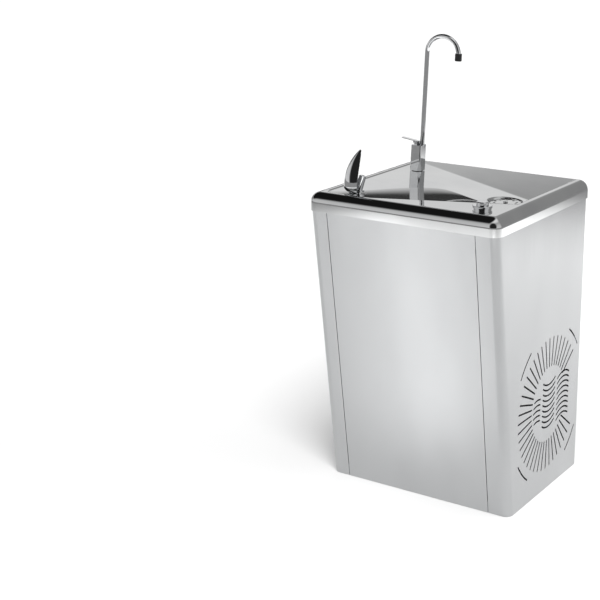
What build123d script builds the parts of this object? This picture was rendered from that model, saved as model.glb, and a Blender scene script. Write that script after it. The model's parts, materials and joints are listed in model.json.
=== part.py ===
from build123d import *
import os
from math import atan2, cos, hypot, radians, sin, sqrt

# Wall-hung chilled drinking fountain: a tapered stainless cabinet under a pressed basin top,
# with a push-button bubbler and a swan-neck bottle filler.
# +X is the user's right, +Y points to the wall, +Z is up.
# The origin is at the middle of the footprint, on the base.

# ---- driving dimensions (mm) ----
CABINET_WIDTH = 400.0
CABINET_DEPTH = 386.0
CABINET_HEIGHT = 570.0          # base to the underside of the lid skirt
FRONT_TAPER = 84.0              # how far the front leans back from top to base
CORNER_RADIUS = 16.0
SHEET = 1.2                     # stainless sheet thickness
LID_HEIGHT = 32.0
LID_LIP = 3.0                   # how far the lid stands out from the cabinet
LID_EDGE_RADIUS = 20.0
LID_CORNER_RADIUS = 21.0
FIT = 0.3                       # gap between neighbouring pieces
PLATE = 1.5                     # galvanised chassis plate

# front seams and their inward returns
SEAM_LEFT = -160.0
SEAM_RIGHT = 155.0
SEAM_GAP = 1.2
RETURN_DEPTH = 14.0
TOP_FLANGE = 14.0
PANEL_RISE = 14.0               # cabinet sheet hidden under the lid skirt
REAR_FLANGE = 20.0

# basin
RIM_FLAT = 5.0
REAR_RIM = 4.5
FACET_INSET = 40.0              # from the lid's left edge to the side facet's datum line
REAR_INSET = 18.0               # from the lid's rear edge to the rear facet's datum line
RIM_STEP = 2.0                  # drop from the rim to the high side of the floor
SIDE_FALL = 0.045               # floor fall per mm towards the right
REAR_FALL = 0.099               # floor fall per mm towards the front
DECK_FALL = 0.18                # fall from the front deck into the floor
DECK_SLOPE = 0.399              # plan slope of the front deck's edge
DECK_START = 128.0              # from the lid's left edge to where the deck's edge begins
RECESS_CORNER = 18.0
DRAIN_FROM_RIGHT = 80.0
DRAIN_FROM_REAR = 196.0
SUMP_RADIUS = 33.0
SUMP_DEPTH = 21.5
DRAIN_BORE = 17.5
DRAIN_WALL = 2.0

# side vent
VENT_FROM_REAR = 142.0
VENT_HEIGHT = 180.0
RAY_STEP = 8.0                  # degrees between radial slots
RAY_FIRST = 36.0
RAY_COUNT = 37
RAY_INNER = 76.0
RAY_OUTER = 136.0
RAY_WIDTH = 3.4
ARC_RADIUS = 156.0
ARC_SPAN = 21.0
RIPPLE_PITCH = 11.0
RIPPLE_ROWS = 9
RIPPLE_WIDTH = 3.4
RIPPLE_SAG = 8.0
RIPPLE_HALF = 27.0
RIPPLE_COLUMN = 66.0

# fittings
BUTTON_FROM_RIGHT = 58.0
BUTTON_FROM_FRONT = 52.0
BUTTON_TRAVEL = 4.0
BEZEL_RADIUS = 18.0
BUTTON_RADIUS = 11.3
BUBBLER_FROM_LEFT = 76.0
BUBBLER_FROM_FRONT = 57.0
SHANK_RADIUS = 6.0
GUARD_HEIGHT = 85.0
GUARD_ARC = 96.0
GUARD_HALF_WIDTH = 17.0
NOZZLE_RADIUS = 6.8
NOZZLE_LENGTH = 30.0
NOZZLE_TILT = 13.0
TAP_FROM_LEFT = 63.0
TAP_FROM_REAR = 83.5
TAP_WIDTH = 23.0
TAP_DEPTH = 24.0
TAP_HEIGHT = 54.0
SPOUT_RADIUS = 4.75
SPOUT_RISE = 243.0              # basin floor to the start of the bend
SPOUT_BEND = 35.5
LEVER_LENGTH = 40.0
LEVER_WIDTH = 10.0

# refrigeration and water
TUBE_RADIUS = 4.75
FAN_RADIUS = 97.0
COMPRESSOR_RADIUS = 68.0
TANK_RADIUS = 60.0
INSULATION = 18.0

# ---- derived places ----
HALF_WIDTH = CABINET_WIDTH / 2
HALF_LID = HALF_WIDTH + LID_LIP
LID_TOP = CABINET_HEIGHT + LID_HEIGHT
REAR = (CABINET_DEPTH + LID_LIP) / 2
FRONT = REAR - CABINET_DEPTH
PANEL_TOP = CABINET_HEIGHT + PANEL_RISE
INSIDE = SHEET + FIT

BACK_PANEL_REAR = REAR - 13.0
BACK_PANEL_FRONT = BACK_PANEL_REAR - SHEET

DRAIN_X = HALF_WIDTH - DRAIN_FROM_RIGHT
DRAIN_Y = REAR - DRAIN_FROM_REAR
SUMP_Z = LID_TOP - SUMP_DEPTH
FLOOR_EDGE_Z = LID_TOP - RIM_STEP
RECESS_LEFT = -(HALF_LID - LID_EDGE_RADIUS - RIM_FLAT)
RECESS_REAR = REAR - REAR_RIM
FACET_X = -HALF_LID + FACET_INSET
FACET_Y = REAR - REAR_INSET
RECESS_FRONT = FRONT - LID_LIP + LID_EDGE_RADIUS + 3.0
DECK_X = -HALF_LID + DECK_START

BUTTON_X = HALF_WIDTH - BUTTON_FROM_RIGHT
BUTTON_Y = FRONT + BUTTON_FROM_FRONT
BUBBLER_X = -HALF_WIDTH + BUBBLER_FROM_LEFT
BUBBLER_Y = FRONT + BUBBLER_FROM_FRONT
TAP_X = -HALF_WIDTH + TAP_FROM_LEFT
TAP_Y = REAR - TAP_FROM_REAR
VENT_Y = REAR - VENT_FROM_REAR

os.makedirs("parts", exist_ok=True)


def save(part, name):
    """Label a finished piece and write its STEP file."""
    part.label = name
    export_step(part, f"parts/{name}.step")


def front_y(z):
    """Y of the cabinet's front face at height z."""
    return FRONT + FRONT_TAPER * max(0.0, 1 - z / CABINET_HEIGHT)


def floor_z(x):
    """Height of the basin's main facet at x."""
    return FLOOR_EDGE_Z - SIDE_FALL * (x - FACET_X)


def cabinet_envelope(inset, low, high):
    """The cabinet's tapered outline as a solid, shrunk by inset, between two heights."""
    lean = inset * hypot(FRONT_TAPER, CABINET_HEIGHT) / CABINET_HEIGHT
    outline = [(front_y(low) + lean, low)]
    if high > CABINET_HEIGHT:
        outline += [(FRONT + lean, CABINET_HEIGHT), (FRONT + lean, high)]
    else:
        outline += [(front_y(high) + lean, high)]
    outline += [(REAR - inset, high), (REAR - inset, low)]
    with BuildPart() as envelope:
        with BuildSketch(Plane.YZ.offset(inset - HALF_WIDTH)):
            with BuildLine():
                Polyline(*outline, close=True)
            make_face()
        extrude(amount=CABINET_WIDTH - 2 * inset)
        front_faces = envelope.faces().filter_by(lambda f: f.normal_at().Y < -0.9)
        corners = front_faces.edges().filter_by(lambda e: abs(e.tangent_at(0.5).X) < 0.5)
        fillet(corners, CORNER_RADIUS - min(inset, CORNER_RADIUS - 2))
    return envelope.part


def cabinet_shell(inset, thick, low, high):
    """A sheet of the given thickness that follows the cabinet's outline."""
    with BuildPart() as shell:
        add(cabinet_envelope(inset, low, high))
        add(cabinet_envelope(inset + thick, low - 1, high + 1), mode=Mode.SUBTRACT)
    return shell.part


def box_between(low, high, mode=Mode.ADD):
    """A box in the current part, given by its two far corners."""
    size = [b - a for a, b in zip(low, high)]
    middle = [(a + b) / 2 for a, b in zip(low, high)]
    with Locations(tuple(middle)):
        Box(*size, mode=mode)


def tube(points, radius, radii, bore=0.0):
    """A round tube along straight runs joined by tangent arcs."""
    path = FilletPolyline(*points, radius=radii) if len(points) > 2 else Line(*points)
    start = Plane(origin=path @ 0, z_dir=path % 0)
    with BuildPart() as run:
        with BuildSketch(start):
            Circle(radius)
            if bore:
                Circle(bore, mode=Mode.SUBTRACT)
        sweep(path=path)
    return run.part


# ---- cabinet sheet metal ----
SHELL = cabinet_shell(0.0, SHEET, 0.0, PANEL_TOP)


def seam_return(edge_x, away):
    """The inward fold along one side of a front seam."""
    low, high = 24.0, CABINET_HEIGHT - 32.0
    inner = SHEET / 2
    strip = [
        (front_y(low) + inner, low),
        (front_y(high) + inner, high),
        (front_y(high) + RETURN_DEPTH, high),
        (front_y(low) + RETURN_DEPTH, low),
    ]
    with BuildPart() as fold:
        with BuildSketch(Plane.YZ.offset(edge_x)):
            with BuildLine():
                Polyline(*strip, close=True)
            make_face()
        extrude(amount=away * SHEET)
    return fold.part


def ripple_arcs():
    """Centre lines of the arched slots: three columns inside the ring, out towards the rear."""
    arcs = []
    for column in (-1, 0, 1):
        for row in range(RIPPLE_ROWS):
            dz = (row - (RIPPLE_ROWS - 1) / 2) * RIPPLE_PITCH
            low = column * RIPPLE_COLUMN - RIPPLE_HALF
            high = column * RIPPLE_COLUMN + RIPPLE_HALF
            if column < 1:
                reach = sqrt((RAY_INNER - 8.0) ** 2 - dz ** 2)
                low, high = max(low, -reach), min(high, reach)
            length = high - low
            if length < 22.0:
                continue
            rise = RIPPLE_SAG * (length / (2 * RIPPLE_HALF)) ** 2 * (1 if column else -1)
            foot = VENT_HEIGHT + dz - rise / 2
            arcs.append(
                ThreePointArc(
                    (VENT_Y + low, foot),
                    (VENT_Y + (low + high) / 2, foot + rise),
                    (VENT_Y + high, foot),
                )
            )
    return arcs


def corner_arcs():
    """Centre lines of the four long arc slots outside the rays."""
    starts = [45 + 90 * quarter - ARC_SPAN / 2 for quarter in range(4)]
    return [CenterArc((VENT_Y, VENT_HEIGHT), ARC_RADIUS, start, ARC_SPAN) for start in starts]


def vent_cutter(side):
    """The sunburst vent as a solid cutter through one side panel; side is +1 right, -1 left."""
    arcs = ripple_arcs() + corner_arcs()
    middle = (RAY_INNER + RAY_OUTER) / 2
    with BuildPart() as cutter:
        with BuildSketch(Plane.YZ.offset(side * HALF_WIDTH - 3.0)):
            for ray in range(RAY_COUNT):
                angle = RAY_FIRST + ray * RAY_STEP
                across = VENT_Y + middle * cos(radians(angle))
                up = VENT_HEIGHT + middle * sin(radians(angle))
                with Locations(Location((across, up, 0), (0, 0, angle))):
                    SlotOverall(RAY_OUTER - RAY_INNER, RAY_WIDTH)
            for arc in arcs:
                SlotArc(arc, RIPPLE_WIDTH)
        extrude(amount=6.0)
    return cutter.part


def side_panel(side, seam_edge):
    """One wrap-round side panel: side face, front strip, rear flange, top flange and vent."""
    wall = side * HALF_WIDTH
    with BuildPart() as panel:
        add(SHELL)
        keep_low = (min(seam_edge, 1.1 * wall), FRONT - 5, -5)
        keep_high = (max(seam_edge, 1.1 * wall), REAR + 5, PANEL_TOP + 5)
        box_between(keep_low, keep_high, mode=Mode.INTERSECT)
        flange_edge = wall - side * REAR_FLANGE
        clear = sorted((flange_edge, seam_edge - side * 20))
        box_between((clear[0], 0, -5), (clear[1], REAR + 5, PANEL_TOP + 5), mode=Mode.SUBTRACT)
        # the rear flange stops below the lid's skirt
        skirt = sorted((wall - side * (REAR_FLANGE + 5), wall - side * (SHEET + 3)))
        box_between(
            (skirt[0], REAR - 4, CABINET_HEIGHT - 1), (skirt[1], REAR + 1, PANEL_TOP + 1), mode=Mode.SUBTRACT
        )
        notch = sorted((wall - side * (SHEET + 4), wall + side))
        box_between(
            (notch[0], REAR - 3, CABINET_HEIGHT - 1), (notch[1], REAR + 1, PANEL_TOP + 1), mode=Mode.SUBTRACT
        )
        top = sorted((wall - side * TOP_FLANGE, wall - side * SHEET / 2))
        box_between(
            (top[0], FRONT + CORNER_RADIUS + 4, PANEL_TOP - SHEET), (top[1], REAR - 6, PANEL_TOP)
        )
        add(seam_return(seam_edge, side))
        add(vent_cutter(side), mode=Mode.SUBTRACT)
    return panel.part


save(side_panel(1, SEAM_RIGHT + SEAM_GAP / 2), "side_panel_right")
save(side_panel(-1, SEAM_LEFT - SEAM_GAP / 2), "side_panel_left")

with BuildPart() as front_panel:
    add(SHELL)
    box_between(
        (SEAM_LEFT + SEAM_GAP / 2, FRONT - 5, -5),
        (SEAM_RIGHT - SEAM_GAP / 2, 0, PANEL_TOP + 5),
        mode=Mode.INTERSECT,
    )
    add(seam_return(SEAM_LEFT + SEAM_GAP / 2, 1))
    add(seam_return(SEAM_RIGHT - SEAM_GAP / 2, -1))
    box_between(
        (SEAM_LEFT + 6, FRONT + SHEET / 2, PANEL_TOP - SHEET),
        (SEAM_RIGHT - 6, FRONT + TOP_FLANGE, PANEL_TOP)
    )
save(front_panel.part, "front_panel")

# ---- base pan: the tray that carries the refrigeration unit ----
PAN_WALL = 20.0
INLET_X = -HALF_WIDTH + 50.0
INLET_Y = REAR - 54.5
WASTE_X = 20.0
WASTE_Y = REAR - 44.5
INLET_THREAD = 10.48
WASTE_RADIUS = 16.0
LOW_FIX_SPACING = 240.0
LOW_FIX_Z = 12.0
WALL_HOLE = 4.25
with BuildPart() as base_pan:
    add(cabinet_envelope(INSIDE, 0, PAN_WALL))
    add(cabinet_envelope(INSIDE + PLATE, PLATE, PAN_WALL + 5), mode=Mode.SUBTRACT)
    with BuildSketch():
        with Locations((INLET_X, INLET_Y)):
            Circle(INLET_THREAD + 4)
        with Locations((WASTE_X, WASTE_Y)):
            Circle(WASTE_RADIUS + 4)
    extrude(amount=PLATE, mode=Mode.SUBTRACT)
    with BuildSketch(Plane.XZ.offset(-REAR)):
        with GridLocations(LOW_FIX_SPACING, 1, 2, 1):
            with Locations((0, LOW_FIX_Z)):
                Circle(WALL_HOLE)
    extrude(amount=5, mode=Mode.SUBTRACT)
save(base_pan.part, "base_pan")

# ---- chassis: folded corner posts, a top band and the rear uprights ----
CHASSIS_LOW = PAN_WALL + FIT
CHASSIS_TOP = PANEL_TOP - SHEET - FIT
BAND_LOW = CABINET_HEIGHT - 25.0
POST_WIDTH = 24.0
BACK_PANEL_HALF = HALF_WIDTH - 22.0
CHASSIS_REAR = REAR - INSIDE
with BuildPart() as chassis_frame:
    add(cabinet_shell(INSIDE, PLATE, CHASSIS_LOW, CHASSIS_TOP))
    window_half = HALF_WIDTH - POST_WIDTH
    box_between((-window_half, FRONT - 5, 0), (window_half, 0, BAND_LOW), mode=Mode.SUBTRACT)
    side_window = [
        (front_y(0) + POST_WIDTH + INSIDE, 0),
        (front_y(BAND_LOW) + POST_WIDTH + INSIDE, BAND_LOW),
        (CHASSIS_REAR - POST_WIDTH, BAND_LOW),
        (CHASSIS_REAR - POST_WIDTH, 0),
    ]
    with BuildSketch(Plane.YZ.offset(-HALF_WIDTH)):
        with BuildLine():
            Polyline(*side_window, close=True)
        make_face()
    extrude(amount=CABINET_WIDTH, mode=Mode.SUBTRACT)
    box_between((-BACK_PANEL_HALF, 0, 0), (BACK_PANEL_HALF, REAR, PANEL_TOP), mode=Mode.SUBTRACT)
    # webs and ears that carry the back panel
    for side in (-1, 1):
        web = sorted((side * BACK_PANEL_HALF, side * (BACK_PANEL_HALF + PLATE)))
        box_between(
            (web[0], BACK_PANEL_FRONT - FIT - PLATE, CHASSIS_LOW),
            (web[1], CHASSIS_REAR - PLATE / 2, CHASSIS_TOP)
        )
        ear = sorted((side * (BACK_PANEL_HALF - 18), side * (BACK_PANEL_HALF + PLATE)))
        box_between(
            (ear[0], BACK_PANEL_FRONT - FIT - PLATE, CHASSIS_LOW),
            (ear[1], BACK_PANEL_FRONT - FIT, CHASSIS_TOP)
        )
save(chassis_frame.part, "chassis_frame")

# ---- back panel, its screws, the hook bar and the wall bracket ----
PANEL_SCREW_X = BACK_PANEL_HALF - 9.0
PANEL_SCREW_RADIUS = 1.9
GLAND_X = 75.0
GLAND_Z = 60.0
GLAND_BODY = 8.0
screw_heights = (60.0, 300.0, CABINET_HEIGHT - 30.0)
screw_places = [(x, z) for x in (-PANEL_SCREW_X, PANEL_SCREW_X) for z in screw_heights]
with BuildPart() as back_panel:
    box_between(
        (-BACK_PANEL_HALF + FIT, BACK_PANEL_FRONT, CHASSIS_LOW),
        (BACK_PANEL_HALF - FIT, BACK_PANEL_REAR, CHASSIS_TOP),
    )
    with BuildSketch(Plane.XZ.offset(-BACK_PANEL_REAR - 1)):
        with Locations(*screw_places):
            Circle(PANEL_SCREW_RADIUS + FIT)
        with Locations((GLAND_X, GLAND_Z)):
            Circle(GLAND_BODY + FIT)
    extrude(amount=SHEET + 2, mode=Mode.SUBTRACT)
save(back_panel.part, "back_panel")

with BuildPart() as back_panel_screws:
    with BuildSketch(Plane.XZ.offset(-BACK_PANEL_REAR)):
        with Locations(*screw_places):
            Circle(4.0)
    extrude(amount=-2.2)
    fillet(back_panel_screws.edges().group_by(Axis.Y)[-1], 1.2)
    with BuildSketch(Plane.XZ.offset(-BACK_PANEL_REAR)):
        with Locations(*screw_places):
            Circle(PANEL_SCREW_RADIUS)
    extrude(amount=SHEET + 0.2)
save(back_panel_screws.part, "back_panel_screws")

HANGER_HALF = 120.0
HANGER_LOW = CABINET_HEIGHT - 70.0
HANGER_SHELF = CABINET_HEIGHT - 10.0
HOOK_TOP = CHASSIS_TOP - 2.0
HANGER_SHEET = 2.0
WALL_HOLE_SPACING = 200.0
with BuildPart() as hook_bar:
    hook = [
        (BACK_PANEL_REAR, HANGER_SHELF + 4),
        (BACK_PANEL_REAR + HANGER_SHEET, HANGER_SHELF + 4),
        (BACK_PANEL_REAR + HANGER_SHEET, HOOK_TOP - HANGER_SHEET),
        (REAR - 6.5, HOOK_TOP - HANGER_SHEET),
        (REAR - 6.5, HANGER_SHELF + 5),
        (REAR - 4.5, HANGER_SHELF + 5),
        (REAR - 4.5, HOOK_TOP),
        (BACK_PANEL_REAR, HOOK_TOP),
    ]
    with BuildSketch(Plane.YZ.offset(-HANGER_HALF)):
        with BuildLine():
            Polyline(*hook, close=True)
        make_face()
    extrude(amount=2 * HANGER_HALF)
save(hook_bar.part, "hook_bar")

with BuildPart() as wall_bracket:
    lip_front = REAR - 10.0
    lip_top = HOOK_TOP - HANGER_SHEET - FIT
    rail = [
        (REAR, HANGER_LOW),
        (REAR, HANGER_SHELF),
        (lip_front + HANGER_SHEET, HANGER_SHELF),
        (lip_front + HANGER_SHEET, lip_top),
        (lip_front, lip_top),
        (lip_front, HANGER_SHELF - HANGER_SHEET),
        (REAR - HANGER_SHEET, HANGER_SHELF - HANGER_SHEET),
        (REAR - HANGER_SHEET, HANGER_LOW),
    ]
    with BuildSketch(Plane.YZ.offset(-HANGER_HALF)):
        with BuildLine():
            Polyline(*rail, close=True)
        make_face()
    extrude(amount=2 * HANGER_HALF)
    with BuildSketch(Plane.XZ.offset(-REAR)):
        with Locations((0, HANGER_LOW + 25)):
            with GridLocations(WALL_HOLE_SPACING, 1, 2, 1):
                Circle(WALL_HOLE)
    extrude(amount=5, mode=Mode.SUBTRACT)
save(wall_bracket.part, "wall_bracket")


# ---- basin top: rolled-edge pressing with a recess falling to the drain ----
def lid_envelope(inset, low):
    """The lid's rounded outer form, shrunk by inset."""
    with BuildPart() as form:
        with BuildSketch(Plane.XY.offset(low)):
            Rectangle(2 * (HALF_LID - inset), CABINET_DEPTH + LID_LIP - 2 * inset)
        extrude(amount=LID_TOP - inset - low)
        front_corners = form.edges().filter_by(Axis.Z).group_by(Axis.Y)[0]
        fillet(front_corners, LID_CORNER_RADIUS - inset)
        rear_face = form.faces().sort_by(Axis.Y)[-1]
        top = form.faces().sort_by(Axis.Z)[-1].edges()
        rolled = [edge for edge in top if edge.center().Y < rear_face.center().Y - 1]
        fillet(rolled, LID_EDGE_RADIUS - inset)
    return form.part


def facet_planes(drop):
    """The recess floor's three facets, lowered by drop: side, rear and front deck."""
    lean = hypot(1.0, DECK_SLOPE)
    deck_out = (-DECK_SLOPE / lean, 1 / lean)
    return [
        Plane(origin=(FACET_X, 0, FLOOR_EDGE_Z - drop), z_dir=(SIDE_FALL, 0, 1)),
        Plane(origin=(0, FACET_Y, FLOOR_EDGE_Z - drop), z_dir=(0, -REAR_FALL, 1)),
        Plane(
            origin=(DECK_X, RECESS_FRONT, LID_TOP - drop),
            z_dir=(DECK_FALL * deck_out[0], DECK_FALL * deck_out[1], 1),
        ),
    ]


def recess_form(grow):
    """The recess as a solid cutter, grown by grow for the sheet's underside."""
    deck_end = RECESS_FRONT + DECK_SLOPE * (-RECESS_LEFT - DECK_X)
    outline = [
        (RECESS_LEFT, RECESS_FRONT),
        (DECK_X, RECESS_FRONT),
        (-RECESS_LEFT, deck_end),
        (-RECESS_LEFT, RECESS_REAR),
        (RECESS_LEFT, RECESS_REAR),
    ]
    with BuildPart() as recess:
        with BuildSketch(Plane.XY.offset(LID_TOP - 60)) as plan:
            with BuildLine():
                Polyline(*outline, close=True)
            make_face()
            corners = plan.vertices().filter_by(lambda v: abs(v.X - DECK_X) > 1)
            fillet(corners, RECESS_CORNER)
            if grow:
                offset(amount=grow)
        extrude(amount=70)
        for facet in facet_planes(grow):
            split(bisect_by=facet, keep=Keep.TOP)
        with BuildSketch(Plane.XY.offset(SUMP_Z - grow)):
            with Locations((DRAIN_X, DRAIN_Y)):
                Circle(SUMP_RADIUS + grow)
        extrude(amount=LID_TOP - SUMP_Z)
    return recess.part


BUBBLER_FRAME = Plane(
    origin=(BUBBLER_X, BUBBLER_Y, floor_z(BUBBLER_X)), x_dir=(1, 0, -SIDE_FALL), z_dir=(SIDE_FALL, 0, 1)
)
TAP_FRAME = Plane(origin=(TAP_X, TAP_Y, floor_z(TAP_X)), x_dir=(1, 0, -SIDE_FALL), z_dir=(SIDE_FALL, 0, 1))
SHANK_HOLE = SHANK_RADIUS + 0.4
BEZEL_SHANK = 12.0
with BuildPart() as basin_top:
    add(lid_envelope(0, CABINET_HEIGHT))
    add(recess_form(0), mode=Mode.SUBTRACT)
    with BuildPart(mode=Mode.PRIVATE) as hollow:
        add(lid_envelope(SHEET, CABINET_HEIGHT - 1))
        add(recess_form(SHEET), mode=Mode.SUBTRACT)
    add(hollow.part, mode=Mode.SUBTRACT)
    with BuildSketch(Plane.XY.offset(SUMP_Z - 5)):
        with Locations((DRAIN_X, DRAIN_Y)):
            Circle(DRAIN_BORE + DRAIN_WALL + FIT)
        with Locations((BUTTON_X, BUTTON_Y)):
            Circle(BEZEL_SHANK + FIT)
    extrude(amount=40, mode=Mode.SUBTRACT)
    for frame in (BUBBLER_FRAME, TAP_FRAME):
        with BuildSketch(frame.offset(-10)):
            Circle(SHANK_HOLE)
        extrude(amount=20, mode=Mode.SUBTRACT)
save(basin_top.part, "basin_top")

# ---- foam seal between the cabinet's top flanges and the lid ----
SEAL_WIDTH = 9.0
SEAL_HEIGHT = 8.0
with BuildPart() as basin_seal:
    seal_outer = 2 * (HALF_WIDTH - 4.0)
    seal_deep = CABINET_DEPTH - 26.0
    with BuildSketch(Plane.XY.offset(PANEL_TOP + FIT)):
        with Locations((0, REAR - 6 - seal_deep / 2)):
            Rectangle(seal_outer, seal_deep)
            Rectangle(seal_outer - 2 * SEAL_WIDTH, seal_deep - 2 * SEAL_WIDTH, mode=Mode.SUBTRACT)
    extrude(amount=SEAL_HEIGHT)
save(basin_seal.part, "basin_seal")

# step brackets that tie the lid to the chassis band
BRACKET_WIDTH = 25.0
BRACKET_INNER = HALF_WIDTH - 19.0
band_inner = HALF_WIDTH - INSIDE - PLATE - FIT
lid_under = LID_TOP - SHEET - FIT
with BuildPart() as basin_brackets:
    for side in (-1, 1):
        step = [
            (side * band_inner, CHASSIS_TOP - 2),
            (side * band_inner, BAND_LOW + 4),
            (side * (band_inner - PLATE), BAND_LOW + 4),
            (side * (band_inner - PLATE), CHASSIS_TOP - 2 - PLATE),
            (side * (BRACKET_INNER - PLATE), CHASSIS_TOP - 2 - PLATE),
            (side * (BRACKET_INNER - PLATE), lid_under),
            (side * (BRACKET_INNER + 4), lid_under),
            (side * (BRACKET_INNER + 4), lid_under - PLATE),
            (side * BRACKET_INNER, lid_under - PLATE),
            (side * BRACKET_INNER, CHASSIS_TOP - 2),
        ]
        for place in (-110.0, 110.0):
            with BuildSketch(Plane.XZ.offset(-place)):
                with BuildLine():
                    Polyline(*step, close=True)
                make_face()
            extrude(amount=BRACKET_WIDTH / 2, both=True)
save(basin_brackets.part, "basin_brackets")

# ---- drain: strainer, screw, flanged body, gasket, lock nut, trap ----
DRAIN_FLANGE = 27.0
DRAIN_TAIL_Z = SUMP_Z - 42.0
STRAINER_RADIUS = 30.0
STRAINER_HOLE_RING = 21.5
STRAINER_HOLE = 2.7
STRAINER_SCREW = 2.5
drain_outer = DRAIN_BORE + DRAIN_WALL


def drain_plane(z):
    """A horizontal plane on the drain's axis."""
    return Plane(origin=(DRAIN_X, DRAIN_Y, z))


with BuildPart() as drain_gasket:
    with BuildSketch(drain_plane(SUMP_Z)):
        Circle(DRAIN_FLANGE)
        Circle(drain_outer + FIT / 2, mode=Mode.SUBTRACT)
    extrude(amount=1.0)
save(drain_gasket.part, "drain_gasket")

flange_top = SUMP_Z + 3.0
with BuildPart() as drain_body:
    with BuildSketch(drain_plane(SUMP_Z + 1.0)):
        Circle(DRAIN_FLANGE)
    extrude(amount=2.0)
    with BuildSketch(drain_plane(DRAIN_TAIL_Z)):
        Circle(drain_outer)
    extrude(amount=SUMP_Z + 1.0 - DRAIN_TAIL_Z)
    with BuildSketch(drain_plane(DRAIN_TAIL_Z)):
        Circle(DRAIN_BORE)
    extrude(amount=flange_top - DRAIN_TAIL_Z, mode=Mode.SUBTRACT)
    # a cross bar takes the strainer's screw
    with BuildSketch(drain_plane(SUMP_Z - 6)):
        Rectangle(2 * DRAIN_BORE + 2, 6)
        Circle(5)
        Circle(STRAINER_SCREW + 0.05, mode=Mode.SUBTRACT)
    extrude(amount=4)
save(drain_body.part, "drain_body")

with BuildPart() as drain_strainer:
    with BuildSketch(drain_plane(flange_top)):
        Circle(STRAINER_RADIUS)
        with PolarLocations(STRAINER_HOLE_RING, 10):
            Circle(STRAINER_HOLE, mode=Mode.SUBTRACT)
        Circle(STRAINER_SCREW + 0.1, mode=Mode.SUBTRACT)
    extrude(amount=1.5)
    rim = drain_strainer.faces().sort_by(Axis.Z)[-1].edges().sort_by(SortBy.LENGTH)[-1]
    chamfer(rim, 0.9)
save(drain_strainer.part, "drain_strainer")

with BuildPart() as strainer_screw:
    with BuildSketch(drain_plane(flange_top + 1.5)):
        Circle(4.5)
    extrude(amount=2.2)
    fillet(strainer_screw.edges().group_by(Axis.Z)[-1], 1.4)
    with BuildSketch(drain_plane(SUMP_Z - 9)):
        Circle(STRAINER_SCREW)
    extrude(amount=flange_top + 1.5 - SUMP_Z + 9)
    with BuildSketch(drain_plane(flange_top + 3.7)):
        Rectangle(5.0, 1.0)
        Rectangle(1.0, 5.0)
    extrude(amount=-1.1, mode=Mode.SUBTRACT)
save(strainer_screw.part, "strainer_screw")

with BuildPart() as drain_locknut:
    with BuildSketch(drain_plane(SUMP_Z - SHEET - FIT)):
        RegularPolygon(drain_outer + 7, 6)
        Circle(drain_outer + 0.1, mode=Mode.SUBTRACT)
    extrude(amount=-8)
save(drain_locknut.part, "drain_locknut")

TRAP_BEND = 34.0
WASTE_TAIL = 80.0
TRAP_LOW = CABINET_HEIGHT - 140.0
TRAP_OUT = CABINET_HEIGHT - 70.0
trap_y = DRAIN_Y + 2 * TRAP_BEND + 3.5
trap_route = [
    (DRAIN_X, DRAIN_Y, DRAIN_TAIL_Z - FIT),
    (DRAIN_X, DRAIN_Y, TRAP_LOW),
    (DRAIN_X, trap_y, TRAP_LOW),
    (DRAIN_X, trap_y, TRAP_OUT),
    (DRAIN_X, WASTE_Y, TRAP_OUT),
    (WASTE_X, WASTE_Y, TRAP_OUT),
    (WASTE_X, WASTE_Y, WASTE_TAIL),
]
trap_run = tube(trap_route, WASTE_RADIUS, TRAP_BEND, bore=WASTE_RADIUS - 1.6)
with BuildPart() as waste_trap:
    add(trap_run)
    with BuildSketch(Plane.XY):
        with Locations((WASTE_X, WASTE_Y)):
            Circle(WASTE_RADIUS)
            Circle(WASTE_RADIUS - 1.6, mode=Mode.SUBTRACT)
    extrude(amount=WASTE_TAIL)
save(waste_trap.part, "waste_trap")

with BuildPart() as trap_coupling:
    with BuildSketch(drain_plane(DRAIN_TAIL_Z + 12)):
        Circle(drain_outer + 4)
        Circle(drain_outer + 0.1, mode=Mode.SUBTRACT)
    extrude(amount=-12)
    with BuildSketch(drain_plane(DRAIN_TAIL_Z)):
        Circle(drain_outer + 4)
        Circle(WASTE_RADIUS + 0.1, mode=Mode.SUBTRACT)
    extrude(amount=-14)
save(trap_coupling.part, "trap_coupling")

# ---- push button: bezel, button, valve body, plunger, spring ----
DECK_UNDER = LID_TOP - SHEET
BEZEL_TOP = LID_TOP + 7.5
BUTTON_TOP = LID_TOP + 14.5
STEM_RADIUS = 9.95
VALVE_TOP = LID_TOP - 22.0
VALVE_BASE = LID_TOP - 62.0
PLUNGER_RADIUS = 7.1
PLUNGER_LOW = VALVE_BASE + 26.0
VALVE_BORE_LOW = VALVE_BASE + 12.0


def button_plane(z):
    """A horizontal plane on the push button's axis."""
    return Plane(origin=(BUTTON_X, BUTTON_Y, z))


with BuildPart() as button_bezel:
    with BuildSketch(button_plane(LID_TOP)):
        Circle(BEZEL_RADIUS - 1.5)
    extrude(amount=3.5)
    with BuildSketch(button_plane(LID_TOP + 3.5)):
        Circle(BEZEL_RADIUS)
    extrude(amount=BEZEL_TOP - LID_TOP - 3.5)
    fillet(button_bezel.edges().group_by(Axis.Z)[-1], 1.0)
    with BuildSketch(button_plane(VALVE_TOP)):
        Circle(BEZEL_SHANK)
    extrude(amount=LID_TOP - VALVE_TOP)
    with BuildSketch(button_plane(VALVE_TOP)):
        Circle(STEM_RADIUS + 0.05)
    extrude(amount=BEZEL_TOP - VALVE_TOP, mode=Mode.SUBTRACT)
    with BuildSketch(button_plane(LID_TOP + 1.5)):
        Circle(BUTTON_RADIUS + 0.3)
    extrude(amount=BEZEL_TOP - LID_TOP, mode=Mode.SUBTRACT)
save(button_bezel.part, "button_bezel")

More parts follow.
